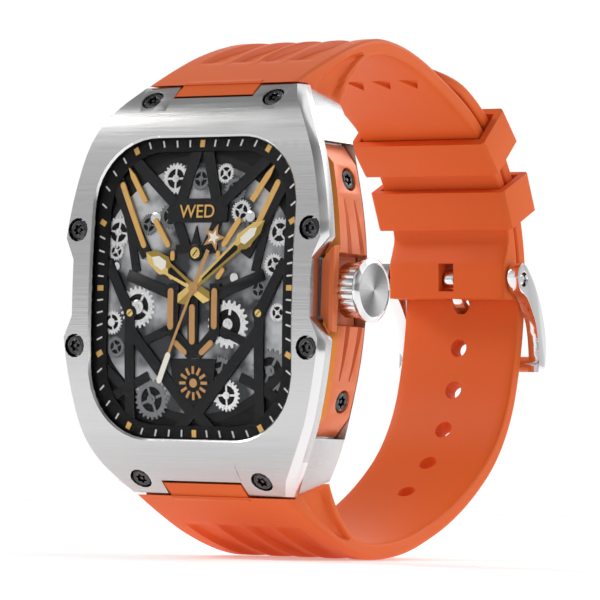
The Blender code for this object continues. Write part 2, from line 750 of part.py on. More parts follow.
def follow(start, heading, arcs, step=2.2):
    """Stations (y, z, heading) along a chain of arcs; a positive heading leans towards -z."""
    y, z = start
    stations = [(y, z, heading)]
    for radius, turn in arcs:
        count = max(2, round(math.radians(turn) * radius / step))
        cy = y - radius * math.sin(math.radians(heading))
        cz = z - radius * math.cos(math.radians(heading))
        for k in range(1, count + 1):
            lean = math.radians(heading + turn * k / count)
            stations.append((cy + radius * math.sin(lean), cz + radius * math.cos(lean),
                             heading + turn * k / count))
        y, z, heading = stations[-1]
    return stations


def arc_centre(start, arcs, number):
    """Centre of one arc in a chain that starts level."""
    stations = follow(start, 0.0, arcs[:number]) if number else [(*start, 0.0)]
    y, z, heading = stations[-1]
    radius = arcs[number][0]
    lean = math.radians(heading)
    return y - radius * math.sin(lean), z - radius * math.cos(lean)


REAR_CENTRE = arc_centre((ROOT_END_Y, ROOT_TOP), UPPER_ARCS, 2)
REAR_RADIUS = UPPER_ARCS[2][0]


def rear_point(radial, rise):
    """A point from its distance to the rear arc's centre and its height in degrees."""
    lean = math.radians(rise)
    return REAR_CENTRE[0] + radial * math.cos(lean), REAR_CENTRE[1] + radial * math.sin(lean)


def strap_half(y):
    """Half width: full at the root, then an even taper."""
    share = min(max((y - TAPER_Y[0]) / (TAPER_Y[1] - TAPER_Y[0]), 0.0), 1.0)
    return ROOT_HALF + (STRAP_HALF - ROOT_HALF) * share


def strap_section(outer, inner, half, soften=0.5):
    """Eight-sided section across the strap, from its outer and inner middle points."""
    out, low = Vector(outer), Vector(inner)
    rise = (out - low).normalized()
    near, far = out - rise * soften, low + rise * soften
    run = [(half - soften, out), (half, near), (half, far), (half - soften, low)]
    run += [(-x, p) for x, p in reversed(run)]
    return [(x, p[0], p[1]) for x, p in run]


def root_stations(sz):
    """Outer and inner points where the strap swells to meet the case."""
    outer = ((-9.8, 26.7), (-0.8, 31.3), (9.6, ROOT_TOP), (ROOT_END_Y, ROOT_TOP))
    inner_top = ROOT_TOP - STRAP_THICK
    inner = ((3.4, 23.5), (5.8, 30.2), (10.1, inner_top), (ROOT_END_Y, inner_top))
    pairs = []
    for k in range(11):
        a, b = bezier(outer, k / 11), bezier(inner, k / 11)
        pairs.append(((a.x, sz * a.y), (b.x, sz * b.y)))
    return pairs


def offset(station, by):
    """A point beside a station, away from the loop's inside for a positive distance."""
    y, z, heading = station
    lean = math.radians(heading)
    return y + by * math.sin(lean), z + by * math.cos(lean)


def strap_root(strap, sz):
    """Trims the root to the case and adds the tongue, the tab and the bar's bore."""
    envelope = [(-23, 0), (-23, 28.25), (-4.1, 28.25), (-4.1, 27.9), (1.5, 26.05), (9, 26.05), (9, 0)]
    combine(strap, [side_plate("cutter", [(y, sz * z) for y, z in envelope], -20, 20, orange_rubber())])
    tongue = [(-6.0, 23.6), (-6.0, 28.5), (-3.9, 29.0), (-0.6, 29.0), (-0.6, 23.6)]
    tab_front = [(front(z), z) for z in (26.5, 27.0, 27.5, 28.0)]
    tab = tab_front + [(-6.4, 28.6), (-3.0, 29.6), (-3.0, 26.5)]
    parts = [side_plate("part", [(y, sz * z) for y, z in tongue], -TAB_HALF, TAB_HALF, orange_rubber()),
             side_plate("part", [(y, sz * z) for y, z in tab], -TAB_HALF, TAB_HALF, orange_rubber())]
    combine(strap, parts, "UNION")
    y, z = LUG_BAR
    bore = turned("cutter", ((BAR_R + GAP, -15.0), (BAR_R + GAP, 15.0)), (0, y, sz * z), (1, 0, 0),
                  orange_rubber(), 14)
    combine(strap, [bore])


def make_upper_strap():
    """The short half: from the twelve o'clock end to the buckle's bar."""
    sections = [strap_section(a, b, strap_half(a[0])) for a, b in root_stations(1)]
    stations = follow((ROOT_END_Y, ROOT_TOP), 0.0, UPPER_ARCS + ((60.0, 1.0),))
    for station in stations:
        y, _, heading = station
        rise = 90.0 - heading
        swell = min(max((16.0 - rise) / 7.0, 0.0), 1.0)
        thick = STRAP_THICK + (BUCKLE_END_THICK - STRAP_THICK) * swell
        tuck = LAYER_GAP * min(max((y - ROOT_END_Y) / 10.0, 0.0), 1.0)
        sections.append(strap_section(offset(station, -tuck), offset(station, -tuck - thick), strap_half(y)))
    strap = capped_body("strap_upper", sections, orange_rubber())
    strap_root(strap, 1)
    bar_y, bar_z = rear_point(BUCKLE_BAR_RADIAL, BUCKLE_BAR_RISE)
    bore = turned("cutter", ((BUCKLE_BAR_R + GAP, -15.0), (BUCKLE_BAR_R + GAP, 15.0)), (0, bar_y, bar_z),
                  (1, 0, 0), orange_rubber(), 16)
    window = block("cutter", (-TANG_HALF - 0.5, 50.0, bar_z - 1.85),
                   (TANG_HALF + 0.5, 64.0, bar_z + 2.3), orange_rubber())
    mouth = block("cutter", (-TANG_HALF - 0.5, bar_y - 0.6, bar_z - 6.0),
                  (TANG_HALF + 0.5, 64.0, bar_z), orange_rubber())
    return combine(strap, [bore, window, mouth])


def hole_stations(stations, first_z):
    """Stations of the adjustment holes, spaced evenly along the strap from the tang's hole."""
    lengths = [0.0]
    for a, b in zip(stations, stations[1:]):
        lengths.append(lengths[-1] + math.hypot(b[0] - a[0], b[1] - a[1]))

    def at(length):
        k = max(i for i, value in enumerate(lengths[:-1]) if value <= length)
        share = (length - lengths[k]) / (lengths[k + 1] - lengths[k])
        return tuple(a + (b - a) * share for a, b in zip(stations[k], stations[k + 1]))

    tang = next(length for length in (0.1 * n for n in range(2000))
                if at(length)[1] <= -first_z)
    return [at(tang + HOLE_PITCH * k) for k in range(-HOLES_BELOW, HOLES_ABOVE + 1)]


def make_lower_strap():
    """The long half: from the six o'clock end, through the buckle and under the keepers.

    It is laid out upside down, with z mirrored, so that both halves start level at the top.
    """
    inner_top = ROOT_TOP - STRAP_THICK
    stations = follow((ROOT_END_Y, inner_top), 0.0, LOWER_ARCS + TAIL_ARCS)
    sections = [strap_section(a, b, strap_half(a[0])) for a, b in root_stations(1)]
    total = len(stations)
    for number, station in enumerate(stations):
        y = station[0]
        left = total - 1 - number
        beyond = number >= total - 10
        half = STRAP_HALF - 0.15 if number > 12 else strap_half(y) - 0.15 * number / 12
        thin = 0.09 * max(10 - left, 0)
        if left < 4:
            half *= (0.45, 0.72, 0.88, 0.97)[left]
        tuck = LAYER_GAP * min(max((y - ROOT_END_Y) / 10.0, 0.0), 1.0) if not beyond else LAYER_GAP
        low, high = offset(station, tuck), offset(station, tuck + STRAP_THICK - thin)
        sections.append(strap_section(high, low, half))
    sections = [[(x, y, -z) for x, y, z in section] for section in sections]
    strap = capped_body("strap_lower", sections, orange_rubber())
    strap_root(strap, -1)
    cutters = []
    for y, z, heading in hole_stations(stations, TANG_HOLE_Z):
        lean = math.radians(heading)
        axis = (0.0, math.sin(lean), -math.cos(lean))
        cutters.append(turned("cutter", ((HOLE_R, -1.5), (HOLE_R, 4.5)), (0, y, -z), axis, orange_rubber(), 16))
    return combine(strap, cutters)


def make_lug_bars():
    y, z = LUG_BAR
    for name, sz in (("lug_bar_top", 1), ("lug_bar_bottom", -1)):
        turned(name, ((0.4, -9.3), (0.4, -8.4), (BAR_R, -8.3), (BAR_R, 8.3), (0.4, 8.4), (0.4, 9.3)),
               (0, y, sz * z), (1, 0, 0), chrome(), 12)


# ---------------------------------------------------------------- keepers and buckle

def make_keepers():
    """Two rubber loops that slide round the rear arc; each object's origin is the arc's centre."""
    low = REAR_RADIUS - LAYER_GAP - STRAP_THICK - KEEPER_CLEAR
    high = REAR_RADIUS + LAYER_GAP + STRAP_THICK + KEEPER_CLEAR
    wide = STRAP_HALF + KEEPER_CLEAR
    wall = KEEPER_WALL
    half = KEEPER_LONG / 2
    outer = [(wide + wall, low - wall + 0.5), (wide + wall, high + wall - 0.5), (wide + wall - 0.5, high + wall),
             (-wide - wall + 0.5, high + wall), (-wide - wall, high + wall - 0.5),
             (-wide - wall, low - wall + 0.5), (-wide - wall + 0.5, low - wall), (wide + wall - 0.5, low - wall)]
    inner = [(wide, low + 0.1), (wide, high - 0.1), (wide - 0.1, high), (-wide + 0.1, high), (-wide, high - 0.1),
             (-wide, low + 0.1), (-wide + 0.1, low), (wide - 0.1, low)]
    for number, rest in enumerate(KEEPER_REST, 1):
        turn = Matrix.Rotation(math.radians(rest), 3, "X")
        loops = []
        for outline, along in ((outer, -half), (outer, half), (inner, half), (inner, -half)):
            loops.append([tuple(turn @ Vector((x, radial, along))) for x, radial in outline])
        keeper = ring_body(f"keeper_{number}", loops, orange_rubber())
        keeper.location = (0, REAR_CENTRE[0] * MM, REAR_CENTRE[1] * MM)


def smooth_path(points, steps=4):
    """Catmull-Rom curve through a few points in the y-z plane."""
    run = [Vector(p) for p in points]
    run = [run[0] * 2 - run[1]] + run + [run[-1] * 2 - run[-2]]
    curve = []
    for a, b, c, d in zip(run, run[1:], run[2:], run[3:]):
        for k in range(steps):
            t = k / steps
            curve.append(0.5 * (2 * b + (c - a) * t + (2 * a - 5 * b + 4 * c - d) * t ** 2
                                + (3 * b - 3 * c + d - a) * t ** 3))
    curve.append(run[-2])
    return curve


def strip_outline(path, half_thick):
    """Outline of a strip of even thickness along a path, in y and z."""
    left, right = [], []
    for k, point in enumerate(path):
        ahead = path[min(k + 1, len(path) - 1)] - path[max(k - 1, 0)]
        normal = Vector((-ahead.y, ahead.x)).normalized()
        left.append(tuple(point + normal * half_thick))
        right.append(tuple(point - normal * half_thick))
    return left + right[::-1]


def make_buckle():
    """Frame, bar and tang; the frame's and the tang's origins lie on the bar's axis."""
    bar_y, bar_z = rear_point(BUCKLE_BAR_RADIAL, BUCKLE_BAR_RISE)
    outer = smooth_path([(-1.9, 0.2), (-1.5, 1.6), (-0.1, 2.4), (2.6, 0.1), (4.9, -3.3), (6.6, -7.5), (7.0, -11.0),
                         (6.6, -13.5)], 3)
    inner = smooth_path([(4.9, -13.5), (4.95, -11.0), (4.3, -7.7), (3.4, -5.6), (1.0, -2.6), (-1.0, -1.7),
                         (-1.9, 0.2)], 3)
    arm_outline = [tuple(p) for p in outer] + [tuple(p) for p in inner[:-1]]
    low, high = ARM_X
    frame = side_plate("buckle_frame", arm_outline, low, high, chrome())
    second = side_plate("part", arm_outline, -high, -low, chrome())
    cross = [(5.1, -13.5), (6.6, -13.5), (6.9, -12.4), (6.9, -11.2), (5.3, -11.2), (4.9, -12.3)]
    crossbar = side_plate("part", cross, -high + 0.4, high - 0.4, chrome())
    combine(frame, [second, crossbar], "UNION")
    bore = turned("cutter", ((BUCKLE_BAR_R + GAP, -15.0), (BUCKLE_BAR_R + GAP, 15.0)), (0, 0, 0), (1, 0, 0),
                  chrome(), 16)
    notch = block("cutter", (-1.4, 6.25, -15.0), (1.4, 9.0, -9.0), chrome())
    combine(frame, [bore, notch])
    frame.location = (0, bar_y * MM, bar_z * MM)

    turned("buckle_bar", ((BUCKLE_BAR_R, -11.9), (BUCKLE_BAR_R, 11.9)), (0, bar_y, bar_z), (1, 0, 0), chrome(), 16)

    path = smooth_path([(1.15, -0.75), (1.45, -2.4), (2.5, -3.7), (4.75, -4.85), (6.2, -6.4), (6.85, -8.9),
                        (7.0, -11.4), (7.0, -13.9)], 4)
    tang = side_plate("tang", strip_outline(path, TANG_THICK / 2), -TANG_HALF, TANG_HALF, chrome())
    eye_in, eye_out = BUCKLE_BAR_R + 0.2, 1.5
    eye = turned("part", ((eye_out, -TANG_HALF), (eye_out, TANG_HALF)), (0, 0, 0), (1, 0, 0), chrome(), 20)
    combine(tang, [eye], "UNION")
    bore = turned("cutter", ((eye_in, -2.0), (eye_in, 2.0)), (0, 0, 0), (1, 0, 0), chrome(), 20)
    combine(tang, [bore])
    tang.location = (0, bar_y * MM, bar_z * MM)


def main():
    clear_scene()
    make_bezel()
    make_mid_case()
    make_inserts()
    make_case_back()
    make_screws()
    make_front_stack()
    make_inner_frame()
    make_electronics()
    make_crown()
    make_upper_strap()
    make_lower_strap()
    make_lug_bars()
    make_keepers()
    make_buckle()


main()
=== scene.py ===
"""Looks of a running watch: a barrel-shaped steel case, a skeleton dial and an orange rubber strap.

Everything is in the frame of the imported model: +X to the crown, +Z to twelve o'clock, dial facing -Y.
Lengths in this file are millimetres, and MM turns them into metres when a mesh is made.
"""
import math

import bmesh
import bpy
from bpy.props import FloatProperty, FloatVectorProperty, IntProperty, PointerProperty
from mathutils import Matrix, Vector


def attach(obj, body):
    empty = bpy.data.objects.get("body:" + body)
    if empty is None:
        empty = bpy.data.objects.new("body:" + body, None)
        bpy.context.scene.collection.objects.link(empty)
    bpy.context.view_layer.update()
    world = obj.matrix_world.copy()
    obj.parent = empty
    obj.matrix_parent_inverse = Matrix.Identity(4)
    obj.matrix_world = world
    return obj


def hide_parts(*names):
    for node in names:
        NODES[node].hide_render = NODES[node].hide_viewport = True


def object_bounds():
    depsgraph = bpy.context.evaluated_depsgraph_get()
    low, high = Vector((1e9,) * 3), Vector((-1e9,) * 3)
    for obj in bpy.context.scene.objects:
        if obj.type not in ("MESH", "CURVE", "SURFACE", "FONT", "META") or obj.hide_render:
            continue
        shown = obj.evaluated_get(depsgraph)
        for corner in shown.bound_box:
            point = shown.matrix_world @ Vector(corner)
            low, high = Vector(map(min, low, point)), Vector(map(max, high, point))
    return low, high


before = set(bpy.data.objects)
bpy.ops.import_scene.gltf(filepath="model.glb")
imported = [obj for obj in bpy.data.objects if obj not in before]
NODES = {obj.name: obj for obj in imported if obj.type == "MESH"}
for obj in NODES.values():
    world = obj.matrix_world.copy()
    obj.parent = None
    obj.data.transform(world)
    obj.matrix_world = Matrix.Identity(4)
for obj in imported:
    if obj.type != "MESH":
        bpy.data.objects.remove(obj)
CAD_BOX = [list(corner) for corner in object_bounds()]

bl_info = {
    "name": "Running watch",
    "version": (1, 0, 0),
    "blender": (4, 5, 0),
    "location": "3D View > Sidebar > Watch",
    "description": "Builds the visible pieces of a running watch round its packed model",
    "category": "Object",
}

MM = 0.001
CASE = "watch"

# Case form, shared by the bezel, the glass and the dial
HALF_WIDTH = 22.1
SIDE_RADIUS = 65.0
FLANK_END = 17.0
CORNER_RADIUS = 22.5
FRONT_Y = -13.05
FRONT_RADIUS = 165.0
ROLL_START = 19.5
ROLL_RADIUS = 12.0
ROLL_END = 27.9          # the roll's slope is held beyond this height
ROLL_RIM = 28.5          # no face beyond this height belongs to the roll
ON_ROLL = 0.03           # how near to the roll a face's corners lie
INSERT_PROUD = 0.35

POLISHED_LEAN = (0.25, 0.93)   # cosines between the roll and a polished chamfer
POLISHED_SIDE = 0.28           # how far a chamfer looks sideways, at least
POLISHED_AREA = 0.25           # or how small its faces are, in square mm

# Screws: their places in x and z (the insert's in y and z), and how far their heads are sunk
BEZEL_SCREWS = ((19.1, 8.0), (10.0, 26.15))
INSERT_SCREW = (-4.85, 15.0)
BACK_SCREW = (13.4, 18.6)
SCREW_SUNK = 0.15
BACK_SUNK = 0.1

# Side inserts
GROOVES = ((-6.85, -5.95, -6.75), (-3.8, -2.85, -4.35))     # y at the root's two sides and at the tip
GROOVE_ROOT_Z = 4.6
GROOVE_TIP_Z = 12.2
GROOVE_TIP_SHARE = 0.15
WAIST_STEPS = ((-9.15, 21.6), (-10.3, 21.5), (-10.6, 21.1))  # y and the waist filler's reach in x
WAIST_INNER = (19.75, 3.75)
INSERT_BEVEL_Y = -7.0                                       # the bright bevel lies in front of this
WAIST_OUTER_Z = 5.9

# Widths of the broken edges
MIDDLE_EDGE = 0.14
BACK_EDGE = 0.15
INSERT_EDGE = 0.09
WAIST_EDGE = 0.12
KEEPER_EDGE = 0.42
# Node, piece, body and edge width
BUCKLE_PIECES = (("buckle_frame", "buckle_loop", "buckle", 0.3), ("tang", "buckle_tang", "tang", 0.22),
                 ("buckle_bar", "buckle_pin", CASE, 0.2))

# Crown
CROWN_AXIS_Y = -5.6
CROWN_START, CROWN_CAP, CROWN_END = 20.7, 24.1, 25.1
CROWN_BARREL, CROWN_RIM = 3.75, 4.35
CROWN_FLUTE = 0.22
STEPS_PER_FLUTE = 10

# Strap form
STRAP_THICK = 2.3
LAYER_GAP = 0.15
ROOT_HALF = 12.4
STRAP_HALF = 10.0
TAPER_Y = (4.0, 34.0)
ROOT_TOP = 36.5
ROOT_END_Y = 17.6
TAB_HALF = 6.35
UPPER_ARCS = ((44.0, 20.0), (86.0, 6.0), (30.5, 64.0))
LOWER_ARCS = ((51.7, 20.0), (46.0, 20.0), (22.0, 36.0), (60.0, 14.0))
TAIL_ARCS = ((30.5, 64.0), (86.0, 6.0))
HOLE_R = 1.6
HOLE_PITCH = 6.5
HOLE_TAPER = 0.9
BUCKLE_END_THICK = 4.3
TANG_HALF = 0.8
TANG_HOLE_Z = 0.6
BUCKLE_BAR = (55.70, 4.84)
BAR_HOLE_R = 1.1
LUG_BAR = (-3.3, 25.3)
LUG_HOLE_R = 1.05
CUT_REACH = 15.0         # half the length of a cutter that goes right through the strap
FLUTE_PITCH = 4.5
FLUTE_RIDGE = 0.42
VENTS_X = (-6.9, -2.3, 2.3, 6.9)
VENT_HALF = 1.6
VENT_Y = (30.2, 33.0)    # from a vent's base to its tip
VENT_Z = 34.25           # the inner face's height where the arc starts
VENT_SUNK = 0.15
VENT_CUT = (-1.5, 0.25)
SIDE_ROUND = 0.7         # radius of the outer edges
FOOT_ROUND = 0.4         # radius of the inner edges
SIDE_SKIN = 0.35         # only points this near the side sink into its recess
RECESS_EDGE = 0.45
TAIL_TAPER = 8.8         # the tail narrows over this length
TAIL_NARROWS = 0.55      # by this share
TUCK_OVER = 10.0
FLUTES_END = 60.0        # heading at which the channels have run out
SWELL_START = 74.0       # heading at which the buckle end starts to thicken
SWELL_OVER = 7.0
TAIL_RUN = 26.0          # the lower strap is at its full inset from here on
RECESS = ((-2.0, 28.3), (0.3, 30.0), (3.1, 31.6), (6.4, 33.1), (9.3, 33.9), (10.3, 33.5), (9.9, 33.0),
          (8.0, 31.9), (5.6, 30.1), (4.4, 28.1), (3.4, 26.5), (-2.0, 26.0))

# Dial: rounded rectangles (half width, half height, corner radius)
DIAL_RECT = (14.5, 18.7, 8.1)
SURROUND_RECT = (16.75, 20.85, 9.6)
OPENING = (16.45, 20.55, 9.3)
TICK_RECT = (15.6, 19.74, 8.5)
DISC_R = 17.1
RING_R = 18.3
# Depth of each layer below the bezel's front
DEPTH = {
    "glass": 0.7, "star_heart": 0.94, "star": 0.95, "seconds_tip": 0.95, "seconds": 0.955, "minute": 0.985,
    "hour": 1.03, "slots": 1.075, "jewels": 1.08, "ticks": 1.09, "batons": 1.1, "surround": 1.1,
    "day": 1.13, "bridges_high": 1.17, "bridges_low": 1.26, "caps": 1.33, "wheels": 1.42, "wells": 1.545,
    "plate": 1.56, "ring": 1.62, "base": 1.66,
}
# Wheels (x, z, radius)
SILVER_WHEELS = ((-4.2, 15.0, 2.2), (4.0, 15.6, 1.4), (-13.2, 7.7, 2.2), (-13.4, 5.1, 1.3), (7.0, 10.4, 1.6),
                 (12.7, 3.1, 1.6), (-9.5, -2.6, 2.9), (-13.8, -4.7, 1.7), (13.5, -3.3, 1.3),
                 (5.2, -14.5, 2.2), (13.4, 7.5, 2.0), (5.5, -4.9, 3.3))
DARK_WHEELS = ((0.0, 14.9, 1.6), (5.8, 13.3, 1.8), (-8.1, 8.7, 1.5), (-13.1, -8.1, 1.5), (4.3, -11.2, 2.0),
               (-7.2, -15.2, 2.8), (12.4, -11.1, 3.0), (9.0, 9.0, 1.2), (-4.6, 9.9, 1.9), (10.3, -0.2, 1.4))
CAPS = ((-9.5, -2.6, 2.9), (-13.8, -4.7, 1.7), (-7.0, 9.6, 2.4), (8.6, 9.7, 2.2), (-13.2, 3.0, 1.6),
        (6.4, 1.4, 1.9))
MARK_Z = -12.9
MARK_BARS = 12
DAY_Z = 9.58
DAY_TALL = 2.55
HOUR_ANGLE = 301.0
MINUTE_ANGLE = 51.0
SECONDS_AIM = (-5.7, -13.0)
STAR_AT = (3.05, 6.85)
STAR_REACH = (1.95, 0.8)

# Stage
FLOOR_R = 900.0
FLOOR_SIDES = 96
FLOOR_GAP = 0.1
LAMPS = (("key", (-560, -230, 430), 260, 2.1, (1.0, 0.99, 0.97)),   # name, place, size, power, colour
         ("rear", (260, 420, 380), 300, 0.6, (1.0, 1.0, 1.0)))
LAMPS_AIM = (0, 20, 0)
ROOF_POWER = 0.8
ROOF_SPREAD = 70.0
ROOF_FROM = (0.45, 0.5, 0.74)
# Brightness of the studio from straight down to straight up, and round the watch from front to back
SKY_BY_HEIGHT = ((0.0, 0.40), (0.42, 0.5), (0.455, 1.02), (0.565, 1.02), (0.60, 0.8), (0.645, 1.5),
                 (0.70, 1.5), (0.77, 0.85), (0.84, 0.42), (0.92, 0.5), (1.0, 0.45))
SKY_ROUND = ((0.0, 0.2), (0.15, 0.28), (0.24, 0.58), (0.34, 0.62), (0.52, 0.45), (0.64, 0.62),
             (0.76, 0.66), (0.86, 1.0), (1.0, 1.0))
SKY_AXIS = (-0.551, 0.834)               # x and y of the direction that SKY_ROUND runs along
CAMERA_TURN = (33.45, -2.41, 1.67)       # azimuth, elevation and roll, in degrees
CAMERA_TARGET = (0, -12.4, 0)
CAMERA_FAR, CAMERA_ACROSS, CAMERA_UP = 563.7, 14.69, -1.67
CAMERA_SENSOR = 36.0
CAMERA_LENS = 249.54


# ---------------------------------------------------------------- sizes and colours

class WatchSizes(bpy.types.PropertyGroup):
    """Sizes a maker would change."""
    bezel_bevel: FloatProperty(name="Bezel edge", description="Width of the polished edge break",
                               default=0.16, unit="NONE")
    flute_depth: FloatProperty(name="Flute depth", description="Depth of the strap's channels, in mm",
                               default=0.95, unit="NONE")
    recess_depth: FloatProperty(name="Side recess", description="Depth of the strap's side recess, in mm",
                                default=0.7, unit="NONE")
    groove_depth: FloatProperty(name="Insert groove", description="Depth of the insert's grooves, in mm",
                                default=0.75, unit="NONE")
    crown_flutes: IntProperty(name="Crown flutes", description="Flutes round the crown", default=22)
    gear_teeth: IntProperty(name="Gear teeth", description="Teeth on each wheel of the dial", default=22)


class WatchColours(bpy.types.PropertyGroup):
    """Colours a maker would change."""
    steel: FloatVectorProperty(name="Steel", description="Brushed steel", subtype="COLOR",
                               default=(0.60, 0.60, 0.605), min=0, max=1)
    polish: FloatVectorProperty(name="Polished steel", description="Crown and buckle", subtype="COLOR",
                                default=(0.82, 0.82, 0.83), min=0, max=1)
    rubber: FloatVectorProperty(name="Rubber", description="Strap and keepers", subtype="COLOR",
                                default=(0.80, 0.135, 0.022), min=0, max=1)
    insert: FloatVectorProperty(name="Insert", description="Anodised side inserts", subtype="COLOR",
                                default=(0.79, 0.168, 0.046), min=0, max=1)
    gold: FloatVectorProperty(name="Gold", description="Hands and batons", subtype="COLOR",
                              default=(0.80, 0.47, 0.14), min=0, max=1)
    bridge: FloatVectorProperty(name="Bridge", description="Dark bridges of the dial", subtype="COLOR",
                                default=(0.014, 0.0145, 0.016), min=0, max=1)


def sizes():
    return bpy.context.scene.watch_sizes


def colours():
    return bpy.context.scene.watch_colours


# ---------------------------------------------------------------- materials

class Wire:
    """A socket in a shader tree that takes part in sums."""

    def __init__(self, tree, socket):
        self.tree, self.socket = tree, socket

    def join(self, slot):
        self.tree.links.new(self.socket, slot)

    def reckon(self, operation, first, second):
        node = self.tree.nodes.new("ShaderNodeMath")
        node.operation = operation
        for slot, value in zip(node.inputs, (first, second)):
            if isinstance(value, Wire):
                value.join(slot)
            else:
                slot.default_value = value
        return Wire(self.tree, node.outputs[0])

    def __add__(self, other):
        return self.reckon("ADD", self, other)

    def __radd__(self, other):
        return self.reckon("ADD", other, self)

    def __sub__(self, other):
        return self.reckon("SUBTRACT", self, other)

    def __rsub__(self, other):
        return self.reckon("SUBTRACT", other, self)

    def __mul__(self, other):
        return self.reckon("MULTIPLY", self, other)

    def __rmul__(self, other):
        return self.reckon("MULTIPLY", other, self)

    def __gt__(self, other):
        return self.reckon("GREATER_THAN", self, other)

    def __lt__(self, other):
        return self.reckon("LESS_THAN", self, other)


def set_stops(ramp, stops):
    """Gives a colour ramp its stops, in rising order."""
    ramp.elements[0].position, ramp.elements[0].color = stops[0]
    ramp.elements[-1].position, ramp.elements[-1].color = stops[-1]
    for place, colour in stops[1:-1]:
        ramp.elements.new(place).color = colour


class Finish:
    """A material and the few ways its look is varied."""

    def __init__(self, name, colour, roughness, metallic=0.0, **fixed):
        self.material = bpy.data.materials.new(name)
        self.material.use_nodes = True
        self.tree = self.material.node_tree
        self.shader = self.tree.nodes["Principled BSDF"]
        self.colour = tuple(colour)[:3]
        self.shader.inputs["Base Color"].default_value = (*self.colour, 1.0)
        self.shader.inputs["Roughness"].default_value = roughness
        self.shader.inputs["Metallic"].default_value = metallic
        for socket, value in fixed.items():
            self.shader.inputs[socket.replace("_", " ")].default_value = value

    def node(self, kind, settings, values, out=0):
        node = self.tree.nodes.new(kind)
        for key, value in settings.items():
            if key == "stops":
                set_stops(node.color_ramp, value)
            else:
                setattr(node, key, value)
        for key, value in values.items():
            if isinstance(value, Wire):
                value.join(node.inputs[key])
            else:
                node.inputs[key].default_value = value
        return Wire(self.tree, node.outputs[out])

    def place(self, stretch=(1, 1, 1), shift=(0, 0, 0)):
        spot = self.node("ShaderNodeTexCoord", {}, {}, "Object")
        return self.node("ShaderNodeMapping", {}, {"Vector": spot, "Scale": stretch, "Location": shift})

    def noise(self, scale, detail=2.0, stretch=(1, 1, 1)):
        return self.node("ShaderNodeTexNoise", {}, {"Vector": self.place(stretch), "Scale": scale,
                                                    "Detail": detail}, "Fac")

    def ramp(self, factor, low, high, dark, light):
        stops = [(low, (dark, dark, dark, 1)), (high, (light, light, light, 1))]
        return self.node("ShaderNodeValToRGB", {"stops": stops}, {"Fac": factor}, "Color")

    def blend(self, factor, first, second):
        pair = [value if isinstance(value, Wire) else (*value, 1.0) for value in (first, second)]
        return self.node("ShaderNodeMix", {"data_type": "RGBA"}, {0: factor, 6: pair[0], 7: pair[1]}, 2)

    def shade(self, factor, amount):
        """Lets the colour vary by a share either way."""
        dark = tuple(c * (1 - amount) for c in self.colour)
        light = tuple(min(c * (1 + amount), 1.0) for c in self.colour)
        self.feed("Base Color", self.blend(factor, dark, light))

    def feed(self, socket, wire):
        wire.join(self.shader.inputs[socket])

    def relief(self, height, distance, strength=1.0):
        bump = self.node("ShaderNodeBump", {}, {"Height": height, "Distance": distance * MM,
                                                "Strength": strength}, "Normal")
        self.feed("Normal", bump)


def steel_finish(name, stretch):
    """Fine parallel brushing, drawn out along one axis."""
    finish = Finish(name, colours().steel, 0.3, 1.0)
    lines = finish.noise(1.0, 3.0, stretch)
    coarse = finish.noise(220.0, 2.0)
    finish.shade(lines, 0.10)
    finish.feed("Roughness", 0.17 + lines * 0.12 + coarse * 0.04)
    finish.relief(lines, 0.012, 0.5)
    return finish.material


def polished_finish(name, roughness=0.09):
    finish = Finish(name, colours().polish, roughness, 1.0)
    smudge = finish.noise(350.0, 4.0)
    finish.feed("Roughness", roughness * 0.7 + smudge * roughness * 0.7)
    finish.relief(finish.noise(1500.0, 2.0), 0.004, 0.3)
    return finish.material


def crown_face_finish():
    """Brushing that runs out from the crown's axis, with soft light and dark sectors of painted reflection in
    its colour.
    """
    finish = Finish("crown_brushed", colours().polish, 0.2, 1.0)
    spot = finish.place(shift=(0.0, -CROWN_AXIS_Y * MM, 0.0))
    parts = finish.tree.nodes.new("ShaderNodeSeparateXYZ")
    spot.join(parts.inputs[0])
    y, z = Wire(finish.tree, parts.outputs["Y"]), Wire(finish.tree, parts.outputs["Z"])
    angle = finish.node("ShaderNodeMath", {"operation": "ARCTAN2"}, {0: z, 1: y})
    # The sectors are painted reflection: the bright and dark fans the brushed face would reflect, put into
    # its colour.
    painted_reflection_sector = finish.node("ShaderNodeMath", {"operation": "COSINE"}, {0: (angle + 0.5) * 2.0})
    rays = finish.node("ShaderNodeTexNoise", {"noise_dimensions": "1D"}, {"W": angle, "Scale": 26.0,
                                                                          "Detail": 3.0}, "Fac")
    share = 0.45 + painted_reflection_sector * 0.45 + (rays - 0.5) * 0.5
    finish.feed("Base Color", finish.blend(share, (0.24, 0.24, 0.245), (0.95, 0.95, 0.96)))
    finish.feed("Roughness", 0.16 + rays * 0.14)
    finish.relief(rays, 0.01, 0.5)
    return finish.material


def insert_finish():
    finish = Finish("insert_orange", colours().insert, 0.36, 0.25, Coat_Weight=0.25, Coat_Roughness=0.3)
    grain = finish.noise(5200.0, 2.0)
    drift = finish.noise(90.0, 2.0)
    finish.shade(drift, 0.08)
    finish.feed("Roughness", 0.30 + grain * 0.14)
    finish.relief(grain, 0.01, 0.6)
    return finish.material


def rubber_finish():
    """Moulded rubber: a very fine eggshell skin with a slow drift of tone."""
    finish = Finish("rubber_orange", colours().rubber, 0.5, 0.0, Specular_IOR_Level=0.22)
    skin = finish.noise(7000.0, 2.0)
    drift = finish.noise(70.0, 3.0)
    finish.shade(drift, 0.06)
    finish.feed("Roughness", 0.42 + drift * 0.1 + skin * 0.06)
    finish.relief(skin, 0.012, 0.5)
    return finish.material


def plain_finish(name, colour, roughness, metallic=0.0, amount=0.08, scale=1800.0, bump=0.006, **fixed):
    """A surface with a fine grain and a slight drift of tone and gloss."""
    finish = Finish(name, colour, roughness, metallic, **fixed)
    grain = finish.noise(scale, 3.0)
    finish.shade(grain, amount)
    finish.feed("Roughness", roughness * 0.85 + grain * roughness * 0.3)
    finish.relief(grain, bump, 0.5)
    return finish.material


